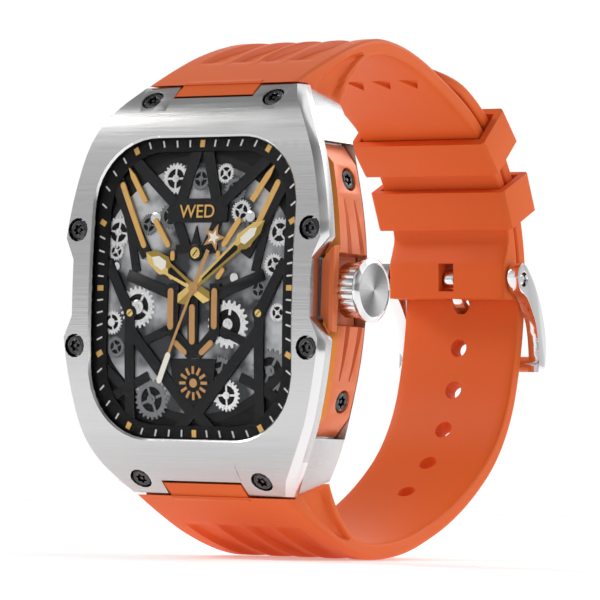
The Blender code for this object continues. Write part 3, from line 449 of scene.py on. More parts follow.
def glass_finish():
    finish = Finish("screen_glass", (0.01, 0.01, 0.012), 0.03, 0.0, IOR=1.5)
    smear = finish.noise(60.0, 2.0)
    finish.feed("Roughness", 0.02 + smear * 0.03)
    finish.feed("Alpha", 0.008 + smear * 0.012)
    return finish.material


def wheel_plate_finish():
    """The grained plate behind the wheels, with uneven light and shade painted into its colour in cloudy
    patches.
    """
    finish = Finish("dial_plate", (0.36, 0.37, 0.39), 0.4, 0.55)
    painted_light_cloud = finish.noise(150.0, 3.0)
    # Painted light and shade: the cloud runs the plate's colour from near black to pale grey.
    finish.feed("Base Color", finish.blend(finish.ramp(painted_light_cloud, 0.42, 0.62, 0.0, 1.0),
                                           (0.045, 0.047, 0.052), (0.58, 0.59, 0.61)))
    finish.feed("Roughness", 0.35 + painted_light_cloud * 0.2)
    finish.relief(finish.noise(2600.0, 2.0), 0.01, 0.4)
    return finish.material


def sensor_finish():
    """Black glass with emitters and detectors under it: a green spot in the middle, a red one above and
    below, and a dark one at either side.
    """
    finish = Finish("sensor_glass", (0.006, 0.006, 0.008), 0.06, 0.0, Coat_Weight=0.5)
    spot = finish.place()
    base = (0.006, 0.006, 0.008)
    colour = None
    for x, z, radius, tint in ((0, 0, 1.5, (0.02, 0.16, 0.07)), (0, 4.4, 1.1, (0.10, 0.012, 0.012)),
                               (0, -4.4, 1.1, (0.10, 0.012, 0.012)), (4.4, 0, 1.3, (0.03, 0.03, 0.05)),
                               (-4.4, 0, 1.3, (0.03, 0.03, 0.05))):
        gap = finish.node("ShaderNodeVectorMath", {"operation": "DISTANCE"},
                          {0: spot, 1: (x * MM, 0.0, z * MM)}, "Value")
        colour = finish.blend(gap < radius * MM, colour or base, tint)
    finish.feed("Base Color", colour)
    finish.feed("Roughness", 0.05 + finish.noise(90.0, 3.0) * 0.06)
    return finish.material


def board_finish():
    """Green solder mask with copper tracks showing through."""
    finish = Finish("circuit_board", (0.012, 0.12, 0.05), 0.35)
    tracks = finish.node("ShaderNodeTexVoronoi", {"feature": "DISTANCE_TO_EDGE"},
                         {"Vector": finish.place(), "Scale": 520.0}, "Distance")
    finish.feed("Base Color", finish.blend(tracks < 0.05, (0.012, 0.12, 0.05), (0.10, 0.24, 0.08)))
    finish.feed("Roughness", 0.3 + finish.noise(900.0) * 0.15)
    return finish.material


FINISHES = {}
MAKERS = {
    "steel": lambda: steel_finish("steel_brushed", (90.0, 900.0, 5200.0)),
    "steel_back": lambda: steel_finish("steel_back_brushed", (5200.0, 900.0, 90.0)),
    "polish": lambda: polished_finish("steel_polished"),
    "edge": lambda: polished_finish("steel_edge", 0.16),
    "crown_face": crown_face_finish,
    "screw": lambda: plain_finish("screw_black", (0.10, 0.10, 0.105), 0.26, 1.0, bump=0.004),
    "insert": insert_finish,
    "insert_bevel": lambda: plain_finish("insert_bevel", (0.80, 0.27, 0.05), 0.26, 0.6, 0.1, 400.0, 0.004),
    "rubber": rubber_finish,
    "glass": glass_finish,
    "plate": wheel_plate_finish,
    "black": lambda: plain_finish("dial_black", (0.008, 0.008, 0.009), 0.5, Specular_IOR_Level=0.15),
    "bridge": lambda: plain_finish("dial_bridge", colours().bridge, 0.5, 0.0, 0.15, Specular_IOR_Level=0.18),
    "wheel": lambda: plain_finish("wheel_silver", (0.80, 0.80, 0.81), 0.28, 0.6, 0.2, 900.0),
    "wheel_dark": lambda: plain_finish("wheel_dark", (0.20, 0.205, 0.215), 0.35, 0.6, 0.25, 900.0),
    "gold": lambda: plain_finish("gold_flat", colours().gold, 0.38, 0.45, 0.08, 1200.0),
    "gold_dark": lambda: plain_finish("gold_copper", (0.56, 0.31, 0.12), 0.42, 0.4, 0.08, 1200.0),
    # The darker gold below is painted shade for the hands' shaded halves; the bright gold after it is gold
    # for the bridge screws and painted light for the hands' lit halves.
    "gold_shade": lambda: plain_finish("gold_shade", (0.40, 0.27, 0.06), 0.35, 0.6, 0.08, 1200.0),
    "gold_bright": lambda: plain_finish("gold_bright", (0.95, 0.68, 0.24), 0.2, 0.8, 0.06, 1200.0),
    "lume": lambda: plain_finish("lume_cream", (0.93, 0.90, 0.80), 0.5, 0.0, 0.03),
    "tick": lambda: plain_finish("tick_white", (0.85, 0.85, 0.84), 0.5, 0.0, 0.03),
    "seal": lambda: plain_finish("seal_rubber", (0.012, 0.012, 0.012), 0.6, 0.0, 0.2),
    "plastic": lambda: plain_finish("inner_plastic", (0.025, 0.025, 0.028), 0.5, 0.0, 0.15),
    "panel": lambda: plain_finish("panel_black", (0.006, 0.006, 0.007), 0.35, 0.0, 0.1),
    "pouch": lambda: plain_finish("battery_foil", (0.55, 0.56, 0.58), 0.35, 0.8, 0.1, 300.0, 0.05),
    "ceramic": lambda: plain_finish("antenna_ceramic", (0.75, 0.68, 0.55), 0.6, 0.0, 0.06),
    "copper": lambda: plain_finish("switch_copper", (0.75, 0.42, 0.22), 0.3, 0.9, 0.1),
    "contact": lambda: plain_finish("contact_gold", (0.85, 0.58, 0.22), 0.2, 1.0, 0.06),
    "sensor": sensor_finish,
    "board": board_finish,
    "floor": lambda: plain_finish("floor_white", (0.93, 0.93, 0.93), 0.6, 0.0, 0.01, 40.0, 0.0,
                                  Emission_Color=(1, 1, 1, 1), Emission_Strength=0.3),
}


def surface(name):
    """A finish by name, made the first time it is asked for."""
    if name not in FINISHES:
        FINISHES[name] = MAKERS[name]()
    return FINISHES[name]


# ---------------------------------------------------------------- meshes

def mesh_piece(name, points, faces, *finishes):
    """An object from points in millimetres."""
    mesh = bpy.data.meshes.new(name)
    mesh.from_pydata([tuple(c * MM for c in p) for p in points], [], faces)
    return wrap(name, mesh, *finishes)


def wrap(name, mesh, *finishes):
    """An object round a mesh, at the origin."""
    piece = bpy.data.objects.new(name, mesh)
    bpy.context.scene.collection.objects.link(piece)
    for finish in finishes:
        mesh.materials.append(surface(finish))
    return piece


def bake(piece, smooth=35.0):
    """Turns the modifiers' result into the piece's own mesh."""
    bpy.context.view_layer.update()
    graph = bpy.context.evaluated_depsgraph_get()
    mesh = bpy.data.meshes.new_from_object(piece.evaluated_get(graph))
    piece.modifiers.clear()
    old, piece.data = piece.data, mesh
    mesh.name = piece.name
    bpy.data.meshes.remove(old)
    mesh.shade_smooth()
    mesh.set_sharp_from_angle(angle=math.radians(smooth))
    return piece


def tidy(piece, merge=0.002):
    """Merges doubles and turns the faces outwards."""
    form = bmesh.new()
    form.from_mesh(piece.data)
    bmesh.ops.remove_doubles(form, verts=form.verts, dist=merge * MM)
    bmesh.ops.recalc_face_normals(form, faces=form.faces)
    form.to_mesh(piece.data)
    form.free()
    return piece


def bevel(piece, width, segments=2, angle=28.0):
    """Breaks the edges sharper than an angle; bake() makes it lasting."""
    edge = piece.modifiers.new("Edge", "BEVEL")
    edge.width, edge.segments = width * MM, segments
    edge.limit_method, edge.angle_limit = "ANGLE", math.radians(angle)
    edge.use_clamp_overlap = True
    even = piece.modifiers.new("Even", "WEIGHTED_NORMAL")
    even.keep_sharp = True
    return piece


def cut(piece, others, operation="DIFFERENCE"):
    """Boolean with helper solids, which are removed."""
    for other in others:
        step = piece.modifiers.new("Cut", "BOOLEAN")
        step.operation, step.solver, step.object = operation, "EXACT", other
        bake(piece)
    for other in others:
        bpy.data.objects.remove(other)
    return piece


def show(piece, body, slot, *nodes):
    """Puts a finished piece on its body in place of the nodes it stands for."""
    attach(piece, body)
    if nodes:
        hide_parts(*nodes)
    return piece


def copied(node, name, *finishes, flat=0.4):
    """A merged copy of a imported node, with its flat faces made whole again."""
    piece = wrap(name, NODES[node].data.copy())
    piece.data.materials.clear()
    for finish in finishes:
        piece.data.materials.append(surface(finish))
    form = bmesh.new()
    form.from_mesh(piece.data)
    bmesh.ops.remove_doubles(form, verts=form.verts, dist=0.001 * MM)
    bmesh.ops.dissolve_limit(form, angle_limit=math.radians(flat), verts=form.verts, edges=form.edges)
    bmesh.ops.join_triangles(form, faces=form.faces, angle_face_threshold=0.2, angle_shape_threshold=1.2)
    for face in form.faces:
        face.material_index = 0
    form.to_mesh(piece.data)
    form.free()
    return piece


def repaint(node, finish):
    """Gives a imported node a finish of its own."""
    materials = NODES[node].data.materials
    if not materials:
        materials.append(surface(finish))
    for k in range(len(materials)):
        materials[k] = surface(finish)


def loft(name, loops, finish, closed=False):
    """Joins equal loops of points; the ends are closed with fans or the first joins the last."""
    count = len(loops[0])
    points = [p for loop in loops for p in loop]
    faces = []
    last = len(loops) if closed else len(loops) - 1
    for row in range(last):
        ahead = (row + 1) % len(loops)
        for k in range(count):
            n = (k + 1) % count
            faces.append((row * count + k, row * count + n, ahead * count + n, ahead * count + k))
    if not closed:
        faces.append(tuple(range(count - 1, -1, -1)))
        base = (len(loops) - 1) * count
        faces.append(tuple(range(base, base + count)))
    return tidy(mesh_piece(name, points, faces, finish))


def prism(name, outline, half):
    """A rubber prism along x from an outline in y and z, as far on either side of the middle."""
    return loft(name, [[(x, y, z) for y, z in outline] for x in (-half, half)], "rubber")


def circle(x, z, radius, steps=28):
    """A round outline."""
    return [(x + radius * math.cos(math.tau * k / steps), z + radius * math.sin(math.tau * k / steps))
            for k in range(steps)]


def rounded(half_x, half_z, radius, steps=10):
    """A rounded rectangle in x and z."""
    points = []
    for sx, sz, start in ((1, 1, 0), (-1, 1, 90), (-1, -1, 180), (1, -1, 270)):
        for k in range(steps + 1):
            angle = math.radians(start + 90 * k / steps)
            points.append((sx * (half_x - radius) + radius * math.cos(angle),
                           sz * (half_z - radius) + radius * math.sin(angle)))
    return points


def flank(z):
    """Half width of the case at a height."""
    z = abs(z)
    if z <= FLANK_END:
        return HALF_WIDTH - SIDE_RADIUS + math.sqrt(SIDE_RADIUS ** 2 - z ** 2)
    base = FLANK_END / SIDE_RADIUS
    lean = base + (z - FLANK_END) / CORNER_RADIUS
    return flank(FLANK_END) - CORNER_RADIUS * (math.sqrt(1 - base ** 2) - math.sqrt(1 - lean ** 2))


def front(z):
    """The bezel's front surface."""
    z = abs(z)
    if z <= ROLL_START:
        return FRONT_Y + z ** 2 / (2 * FRONT_RADIUS)
    base = ROLL_START / FRONT_RADIUS
    lean = min(base + (z - ROLL_START) / ROLL_RADIUS, 0.97)
    return front(ROLL_START) + ROLL_RADIUS * (math.sqrt(1 - base ** 2) - math.sqrt(1 - lean ** 2))


def slope(form, z):
    """How steeply a form's distance changes with height."""
    step = 0.01
    return (form(z + step) - form(z - step)) / (2 * step)


def roll_normal(z):
    """Which way the bezel's front looks at a height."""
    return Vector((0, -1, slope(front, min(max(z, -ROLL_END), ROLL_END)))).normalized()


# ---------------------------------------------------------------- instances on points

def scatter(name, stamp, seats, finish):
    """Copies a small form onto seats (place, turn, size) with geometry nodes.

    The tree's inputs are the form, its finish and an overall size.
    """
    tree = bpy.data.node_groups.new(name + "_tree", "GeometryNodeTree")
    face = tree.interface
    face.new_socket("Geometry", in_out="INPUT", socket_type="NodeSocketGeometry")
    form_in = face.new_socket("Form", in_out="INPUT", socket_type="NodeSocketObject")
    finish_in = face.new_socket("Finish", in_out="INPUT", socket_type="NodeSocketMaterial")
    size_in = face.new_socket("Overall size", in_out="INPUT", socket_type="NodeSocketFloat")
    face.new_socket("Geometry", in_out="OUTPUT", socket_type="NodeSocketGeometry")
    made = {}
    for key, kind in (("in", "NodeGroupInput"), ("out", "NodeGroupOutput"),
                      ("form", "GeometryNodeObjectInfo"), ("copy", "GeometryNodeInstanceOnPoints"),
                      ("turn", "GeometryNodeInputNamedAttribute"), ("euler", "FunctionNodeEulerToRotation"),
                      ("size", "GeometryNodeInputNamedAttribute"), ("scale", "ShaderNodeMath"),
                      ("real", "GeometryNodeRealizeInstances"), ("paint", "GeometryNodeSetMaterial")):
        made[key] = tree.nodes.new(kind)
    made["turn"].data_type, made["size"].data_type = "FLOAT_VECTOR", "FLOAT"
    made["turn"].inputs["Name"].default_value = "turn"
    made["size"].inputs["Name"].default_value = "size"
    made["scale"].operation = "MULTIPLY"
    link = tree.links.new
    link(made["in"].outputs["Geometry"], made["copy"].inputs["Points"])
    link(made["in"].outputs["Form"], made["form"].inputs["Object"])
    link(made["form"].outputs["Geometry"], made["copy"].inputs["Instance"])
    link(made["turn"].outputs["Attribute"], made["euler"].inputs[0])
    link(made["euler"].outputs[0], made["copy"].inputs["Rotation"])
    link(made["size"].outputs["Attribute"], made["scale"].inputs[0])
    link(made["in"].outputs["Overall size"], made["scale"].inputs[1])
    link(made["scale"].outputs[0], made["copy"].inputs["Scale"])
    link(made["copy"].outputs["Instances"], made["real"].inputs["Geometry"])
    link(made["real"].outputs["Geometry"], made["paint"].inputs["Geometry"])
    link(made["in"].outputs["Finish"], made["paint"].inputs["Material"])
    link(made["paint"].outputs["Geometry"], made["out"].inputs["Geometry"])

    mesh = bpy.data.meshes.new(name)
    mesh.from_pydata([tuple(c * MM for c in place) for place, _, _ in seats], [], [])
    mesh.attributes.new("turn", "FLOAT_VECTOR", "POINT")
    mesh.attributes.new("size", "FLOAT", "POINT")
    for k, (_, turn, size) in enumerate(seats):
        mesh.attributes["turn"].data[k].vector = turn
        mesh.attributes["size"].data[k].value = size
    piece = wrap(name, mesh)
    step = piece.modifiers.new("Copies", "NODES")
    step.node_group = tree
    step[form_in.identifier] = stamp
    step[finish_in.identifier] = surface(finish)
    step[size_in.identifier] = 1.0
    bake(piece, 30.0)
    bpy.data.objects.remove(stamp)
    return piece


def turn_to(axis, spin=0.0):
    """Euler angles that lay a form's +Z along an axis."""
    quarter = Vector(axis).normalized().to_track_quat("Z", "Y")
    return tuple((quarter @ Matrix.Rotation(spin, 3, "Z").to_quaternion()).to_euler())


# ---------------------------------------------------------------- case

def outward(finish_by_normal, piece):
    """Sets each face's finish from its centre, normal and area, in millimetres."""
    for face in piece.data.polygons:
        face.material_index = finish_by_normal(face.center / MM, face.normal, face.area / MM ** 2)


class WATCH_OT_case(bpy.types.Operator):
    """Bezel, middle case and case back, with their edges broken"""
    bl_idname = "watch.case"
    bl_label = "Case"

    def execute(self, context):
        bezel = copied("bezel", "bezel_brushed", "steel", "edge", flat=0.02)
        bake(bevel(bezel, sizes().bezel_bevel), 32.0)

        def polished(spot, normal, area):
            low, high = POLISHED_LEAN
            chamfer = abs(normal.x) > POLISHED_SIDE or area < POLISHED_AREA
            return 1 if low < roll_normal(spot.z) @ normal < high and chamfer else 0
        outward(polished, bezel)
        self.even_roll(bezel.data)
        show(bezel, CASE, "brushed_steel", "bezel")

        middle = copied("mid_case", "middle_case", "steel_back", "edge")
        bake(bevel(middle, MIDDLE_EDGE), 32.0)
        show(middle, CASE, "brushed_steel", "mid_case")

        back = copied("case_back", "case_back_plate", "steel")
        bake(bevel(back, BACK_EDGE), 32.0)
        show(back, CASE, "brushed_steel", "case_back")
        repaint("sensor_window", "sensor")
        return {"FINISHED"}

    def even_roll(self, mesh):
        """Gives the bezel's front the exact normals of its roll, so that brushing reads as one sheet."""
        normals = [corner.vector.copy() for corner in mesh.corner_normals]
        for face in mesh.polygons:
            spots = [mesh.vertices[k].co / MM for k in face.vertices]
            if any(abs(z) > ROLL_RIM or abs(y - front(z)) > ON_ROLL for _, y, z in spots):
                continue
            face.material_index = 0
            for corner, spot in zip(face.loop_indices, spots):
                normals[corner] = roll_normal(spot.z)
        mesh.normals_split_custom_set(normals)


class WATCH_OT_inserts(bpy.types.Operator):
    """Side inserts with their tapered grooves"""
    bl_idname = "watch.inserts"
    bl_label = "Side inserts"

    def execute(self, context):
        for side, word in ((1, "right"), (-1, "left")):
            insert = copied(f"side_insert_{word}", f"insert_{word}", "insert")
            cut(insert, [self.groove(side, sz, *groove) for sz in (1, -1) for groove in GROOVES])
            tidy(insert)
            bake(bevel(insert, INSERT_EDGE, 2, 25.0), 32.0)
            insert.data.materials.append(surface("insert_bevel"))
            outward(lambda spot, normal, area: int(normal.y < -0.3 and spot.y < INSERT_BEVEL_Y), insert)
            show(insert, CASE, "orange_alloy", f"side_insert_{word}")
            show(self.waist(side, f"insert_waist_{word}"), CASE, "orange_alloy")
        return {"FINISHED"}

    def groove(self, side, sz, root_low, root_high, tip):
        """A cutter that narrows and runs out from the waist towards the insert's end."""
        deep = sizes().groove_depth
        loops = []
        for z, low, high, share in ((GROOVE_ROOT_Z, root_low - 0.02, root_high + 0.02, 1),
                                    (GROOVE_TIP_Z, tip - 0.05, tip + 0.05, GROOVE_TIP_SHARE)):
            out = side * (flank(z) - INSERT_PROUD + 0.4)
            floor = side * (flank(z) - INSERT_PROUD - deep * share)
            middle = (low + high) / 2
            loops.append([(out, low - 0.3, sz * z), (out, high + 0.3, sz * z),
                          (floor, middle + 0.12, sz * z), (floor, middle - 0.12, sz * z)])
        return loft("groove", loops, "insert")

    def waist(self, side, name):
        """The part of the insert that fills the bezel's waist."""
        inner_x, inner_z = WAIST_INNER
        loops = []
        for y, reach in WAIST_STEPS:
            outer_z = WAIST_OUTER_Z + reach - WAIST_STEPS[0][1]
            corners = ((inner_x, -inner_z), (inner_x, inner_z), (reach, outer_z), (reach, -outer_z))
            loops.append([(side * x, y, z) for x, z in corners])
        return bake(bevel(loft(name, loops, "insert"), WAIST_EDGE, 2, 20.0), 30.0)


def screw_stamp(head=1.35, shank=0.65, tall=1.0, long=3.2):
    """A pan-head screw with a six-lobed recess and a centre pin; its head's top is at the origin."""
    count = 48
    def ring(radius, height, lobes=0.0):
        loop = []
        for k in range(count):
            angle = math.tau * k / count
            reach = radius * (1 + lobes * math.cos(6 * angle))
            loop.append((reach * math.cos(angle), reach * math.sin(angle), height))
        return loop
    loops = [ring(0.02, -0.12), ring(0.24, -0.12), ring(0.28, -0.5), ring(0.62, -0.5, 0.17),
             ring(0.72, -0.02, 0.17), ring(0.78, 0.0, 0.15), ring(head - 0.42, 0.0),
             ring(head - 0.3, -0.09),
             ring(head - 0.22, -0.09), ring(head - 0.12, 0.0), ring(head, -0.16), ring(head, -tall),
             ring(shank, -tall), ring(shank, -tall - long)]
    return bake(loft("screw", loops, "screw"), 30.0)


class WATCH_OT_screws(bpy.types.Operator):
    """All the case's screws, copied onto their seats"""
    bl_idname = "watch.screws"
    bl_label = "Screws"

    def execute(self, context):
        seats = []
        for number, (x, z) in enumerate(BEZEL_SCREWS):
            for sx in (1, -1):
                for sz in (1, -1):
                    axis = Vector((0.0, -1.0, sz * slope(front, z))).normalized()
                    seat = Vector((sx * x, front(z), sz * z)) - axis * SCREW_SUNK
                    seats.append((seat, turn_to(axis, 0.4 * (1 + number) + sx * 0.3 + sz), 1.0))
        fronts = scatter("bezel_screws", screw_stamp(), seats, "screw")
        show(fronts, CASE, "black_steel", *[f"bezel_screw_{k}" for k in range(1, 9)])
        seats = []
        y, z = INSERT_SCREW
        for side in (1, -1):
            for sz in (1, -1):
                axis = Vector((side, 0.0, -sz * slope(flank, z))).normalized()
                seat = Vector((side * (flank(z) - INSERT_PROUD), y, sz * z)) - axis * SCREW_SUNK
                seats.append((seat, turn_to(axis, 0.5 + sz), 1.0))
        sides = scatter("insert_screws", screw_stamp(long=2.3), seats, "screw")
        show(sides, CASE, "black_steel", *[f"insert_screw_{k}" for k in range(1, 5)])
        x, z = BACK_SCREW
        seats = [(Vector((sx * x, -BACK_SUNK, sz * z)), turn_to((0, 1, 0), sx + sz), 1.0)
                 for sx in (1, -1) for sz in (1, -1)]
        backs = scatter("back_screws", screw_stamp(tall=0.75, long=3.4), seats, "polish")
        show(backs, CASE, "brushed_steel", *[f"case_back_screw_{k}" for k in range(1, 5)])
        return {"FINISHED"}


class WATCH_OT_crown(bpy.types.Operator):
    """Fluted crown with a polished flange and a brushed face with painted reflection sectors"""
    bl_idname = "watch.crown"
    bl_label = "Crown"

    def execute(self, context):
        start, cap, end, deep = CROWN_START, CROWN_CAP, CROWN_END, CROWN_FLUTE
        barrel, rim = CROWN_BARREL, CROWN_RIM
        count = sizes().crown_flutes * STEPS_PER_FLUTE

        def ring(radius, x, flute=0.0):
            loop = []
            for k in range(count):
                angle = math.tau * k / count
                wave = 0.5 - 0.5 * math.cos(math.tau * (k % STEPS_PER_FLUTE) / STEPS_PER_FLUTE)
                reach = radius - flute * wave ** 4
                loop.append((x, CROWN_AXIS_Y + reach * math.cos(angle), reach * math.sin(angle)))
            return loop
        loops = [ring(1.2, start + 2.0), ring(1.2, start), ring(barrel - 0.35, start),
                 ring(barrel - 0.05, start + 0.2, 0.18), ring(barrel, start + 0.4, deep),
                 ring(barrel, cap - 0.35, deep), ring(barrel - 0.1, cap - 0.15, 0.12),
                 ring(barrel - 0.2, cap),
                 ring(rim - 0.22, cap), ring(rim - 0.04, cap + 0.1), ring(rim, cap + 0.25),
                 ring(rim, end - 0.48), ring(rim - 0.07, end - 0.38), ring(rim - 0.55, end - 0.03),
                 ring(rim - 0.62, end), ring(rim - 0.7, end), ring(rim - 0.78, end - 0.12)]
        crown = loft("crown_fluted", loops, "polish")
        crown.data.materials.append(surface("crown_face"))
        crown.data.materials.append(surface("edge"))
        for face in crown.data.polygons:
            x, y, z = face.center / MM
            if x < cap:
                face.material_index = 2
            if face.normal.x > 0.99 and math.hypot(y - CROWN_AXIS_Y, z) < 0.5:
                face.material_index = 1
        bake(crown, 28.0)
        show(crown, "crown_turn", "polished_steel", "crown")
        return {"FINISHED"}


# ---------------------------------------------------------------- strap

def follow(start, arcs, step=0.9):
    """Stations (y, z, heading, run) along a chain of arcs; a positive heading leans towards -z."""
    y, z, heading, run = *start, 0.0, 0.0
    stations = [(y, z, heading, run)]
    for radius, turn in arcs:
        count = max(2, round(math.radians(turn) * radius / step))
        cy = y - radius * math.sin(math.radians(heading))
        cz = z - radius * math.cos(math.radians(heading))
        for k in range(1, count + 1):
            lean = math.radians(heading + turn * k / count)
            stations.append((cy + radius * math.sin(lean), cz + radius * math.cos(lean),
                             heading + turn * k / count, run + math.radians(turn) * radius * k / count))
        y, z, heading, run = stations[-1]
    return stations


def bezier(points, share):
    """A point on a cubic curve."""
    rest = 1 - share
    weights = (rest ** 3, 3 * share * rest ** 2, 3 * share ** 2 * rest, share ** 3)
    return tuple(sum(w * p[axis] for w, p in zip(weights, points)) for axis in (0, 1))


def offset(station, by):
    """The point a distance outside the strap's line."""
    y, z, heading = station[:3]
    lean = math.radians(heading)
    return y + by * math.sin(lean), z + by * math.cos(lean)


def held(share):
    """A share kept between nothing and the whole."""
    return min(max(share, 0.0), 1.0)


def ease(value, low, high):
    share = held((value - low) / (high - low))
    return share * share * (3 - 2 * share)


def strap_half(y):
    """Half the strap's width, which tapers behind the case."""
    start, end = TAPER_Y
    return ROOT_HALF + (STRAP_HALF - ROOT_HALF) * held((y - start) / (end - start))


def layer_tuck(y):
    """How far each layer draws back from the other, past the root."""
    return LAYER_GAP * held((y - ROOT_END_Y) / TUCK_OVER)


def within(y, z, outline):
    """How far a point lies inside an outline; negative outside."""
    inside, nearest = False, 1e9
    for (y0, z0), (y1, z1) in zip(outline, outline[1:] + outline[:1]):
        if (z0 > z) != (z1 > z) and y < (y1 - y0) * (z - z0) / (z1 - z0) + y0:
            inside = not inside
        long = (y1 - y0) ** 2 + (z1 - z0) ** 2
        share = held(((y - y0) * (y1 - y0) + (z - z0) * (z1 - z0)) / long)
        nearest = min(nearest, math.hypot(y - y0 - share * (y1 - y0), z - z0 - share * (z1 - z0)))
    return nearest if inside else -nearest


def channel(x, half):
    """Depth share of the four channels at a place across the strap."""
    x = abs(x) / (half / ROOT_HALF * 1.06)
    if x > 2 * FLUTE_PITCH + 0.2:
        return 0.0
    near = min(x, abs(x - FLUTE_PITCH), 2 * FLUTE_PITCH + FLUTE_RIDGE - x)
    return ease(near, FLUTE_RIDGE, FLUTE_RIDGE + 0.45)


def strap_loop(outer, inner, half, flute, across=76, down=18, beneath=16):
    """One closed section of the strap, from its outer and inner middle points."""
    out, low = Vector(outer), Vector(inner)
    thick = (out - low).length
    rise = (out - low).normalized()
    soft = min(SIDE_ROUND, thick * 0.3, half * 0.3)
    under = min(FOOT_ROUND, thick * 0.2)
    run = []
    for k in range(across + 1):
        x = (half - soft) * (1 - 2 * k / across)
        run.append((x, out - rise * (sizes().flute_depth * flute * channel(x, half))))
    corner = [(half - soft + soft * math.sin(a), out - rise * soft * (1 - math.cos(a)))
              for a in map(math.radians, (22.5, 45, 67.5))]
    side = [(half, out - rise * (soft + (thick - soft - under) * k / down)) for k in range(down + 1)]
    foot = [(half - under + under * math.cos(a), low + rise * under * (1 - math.sin(a)))
            for a in map(math.radians, (30, 60))]
    bottom = [((half - under) * (1 - 2 * k / beneath), low) for k in range(beneath + 1)]
    run += [(-x, p) for x, p in corner + side + foot]
    run += [(-x, p) for x, p in bottom]
    run += [(x, p) for x, p in reversed(corner + side + foot)]
    loop = []
    for x, p in run:
        y, z = p
        if abs(x) > half - SIDE_SKIN:
            share = ease(within(y, abs(z), RECESS), 0.0, RECESS_EDGE)
            x -= math.copysign(sizes().recess_depth * share, x)
        loop.append((x, y, z))
    return loop


def root_pairs(count=30):
    """Outer and inner points from the case to where the strap's arcs begin."""
    outer = ((-9.8, 26.7), (-0.8, 31.3), (9.6, ROOT_TOP), (ROOT_END_Y, ROOT_TOP))
    low = ROOT_TOP - STRAP_THICK
    inner = ((3.4, 23.5), (5.8, 30.2), (10.1, low), (ROOT_END_Y, low))
    return [(bezier(outer, k / count), bezier(inner, k / count)) for k in range(count)]


def flute_share(y, heading=0.0):
    """How deep the channels are along the strap; they end where it has turned down."""
    return ease(y, 1.2, 2.3) * (1 - ease(y, 9.0, 25.0)) if heading < FLUTES_END else 0.0


def together(name, pieces):
    """One mesh from several helper solids."""
    form = bmesh.new()
    for piece in pieces:
        form.from_mesh(piece.data)
        bpy.data.objects.remove(piece)
    mesh = bpy.data.meshes.new(name)
    form.to_mesh(mesh)
    form.free()
    return wrap(name, mesh, "rubber")


def rod(radius, spot, axis, low, high, taper=0.0, steps=28):
    """A cutter rod along an axis through a point, thinner towards its far end by a taper."""
    turn = Vector(axis).normalized().to_track_quat("Z", "Y")
    loops = []
    for along, reach in ((low, radius), (high, radius - taper)):
        ring = [Vector((x, y, along)) for x, y in circle(0, 0, reach, steps)]
        loops.append([tuple(Vector(spot) + turn @ p) for p in ring])
    return loft("rod", loops, "rubber")


def trim_root(strap, sz):
    """Cuts the root back to the case and adds the tongue and the front tab."""
    envelope = [(-23, 0), (-23, 28.25), (-4.1, 28.25), (-4.1, 27.9), (1.5, 26.05), (9, 26.05), (9, 0)]
    tongue = [(-6.0, 23.6), (-6.0, 28.5), (-3.9, 29.0), (-0.6, 29.0), (-0.6, 23.6)]
    tab = [(front(z), z) for z in (26.5, 27.0, 27.5, 28.0)] + [(-6.4, 28.6), (-3.0, 29.6), (-3.0, 26.5)]
    cut(strap, [prism("envelope", [(y, sz * z) for y, z in envelope], 20)])
    cut(strap, [prism("tongue", [(y, sz * z) for y, z in tongue], TAB_HALF),
                prism("tab", [(y, sz * z) for y, z in tab], TAB_HALF)], "UNION")
    bar_y, bar_z = LUG_BAR
    cut(strap, [rod(LUG_HOLE_R, (0, bar_y, sz * bar_z), (1, 0, 0), -CUT_REACH, CUT_REACH)])
    return strap


def vents(sz):
    """Four small triangles sunk into the inner face."""
    marks = []
    start_y, tip_y = VENT_Y
    fall = 2 * UPPER_ARCS[0][0]
    for x in VENTS_X:
        corners = ((x - VENT_HALF, start_y), (x + VENT_HALF, start_y), (x, tip_y))
        loops = []
        for by in VENT_CUT:
            loops.append([(cx, y, sz * (VENT_Z - (y - ROOT_END_Y) ** 2 / fall - VENT_SUNK + by))
                          for cx, y in corners])
        marks.append(loft("vent", loops, "rubber"))
    return together("vents", marks)


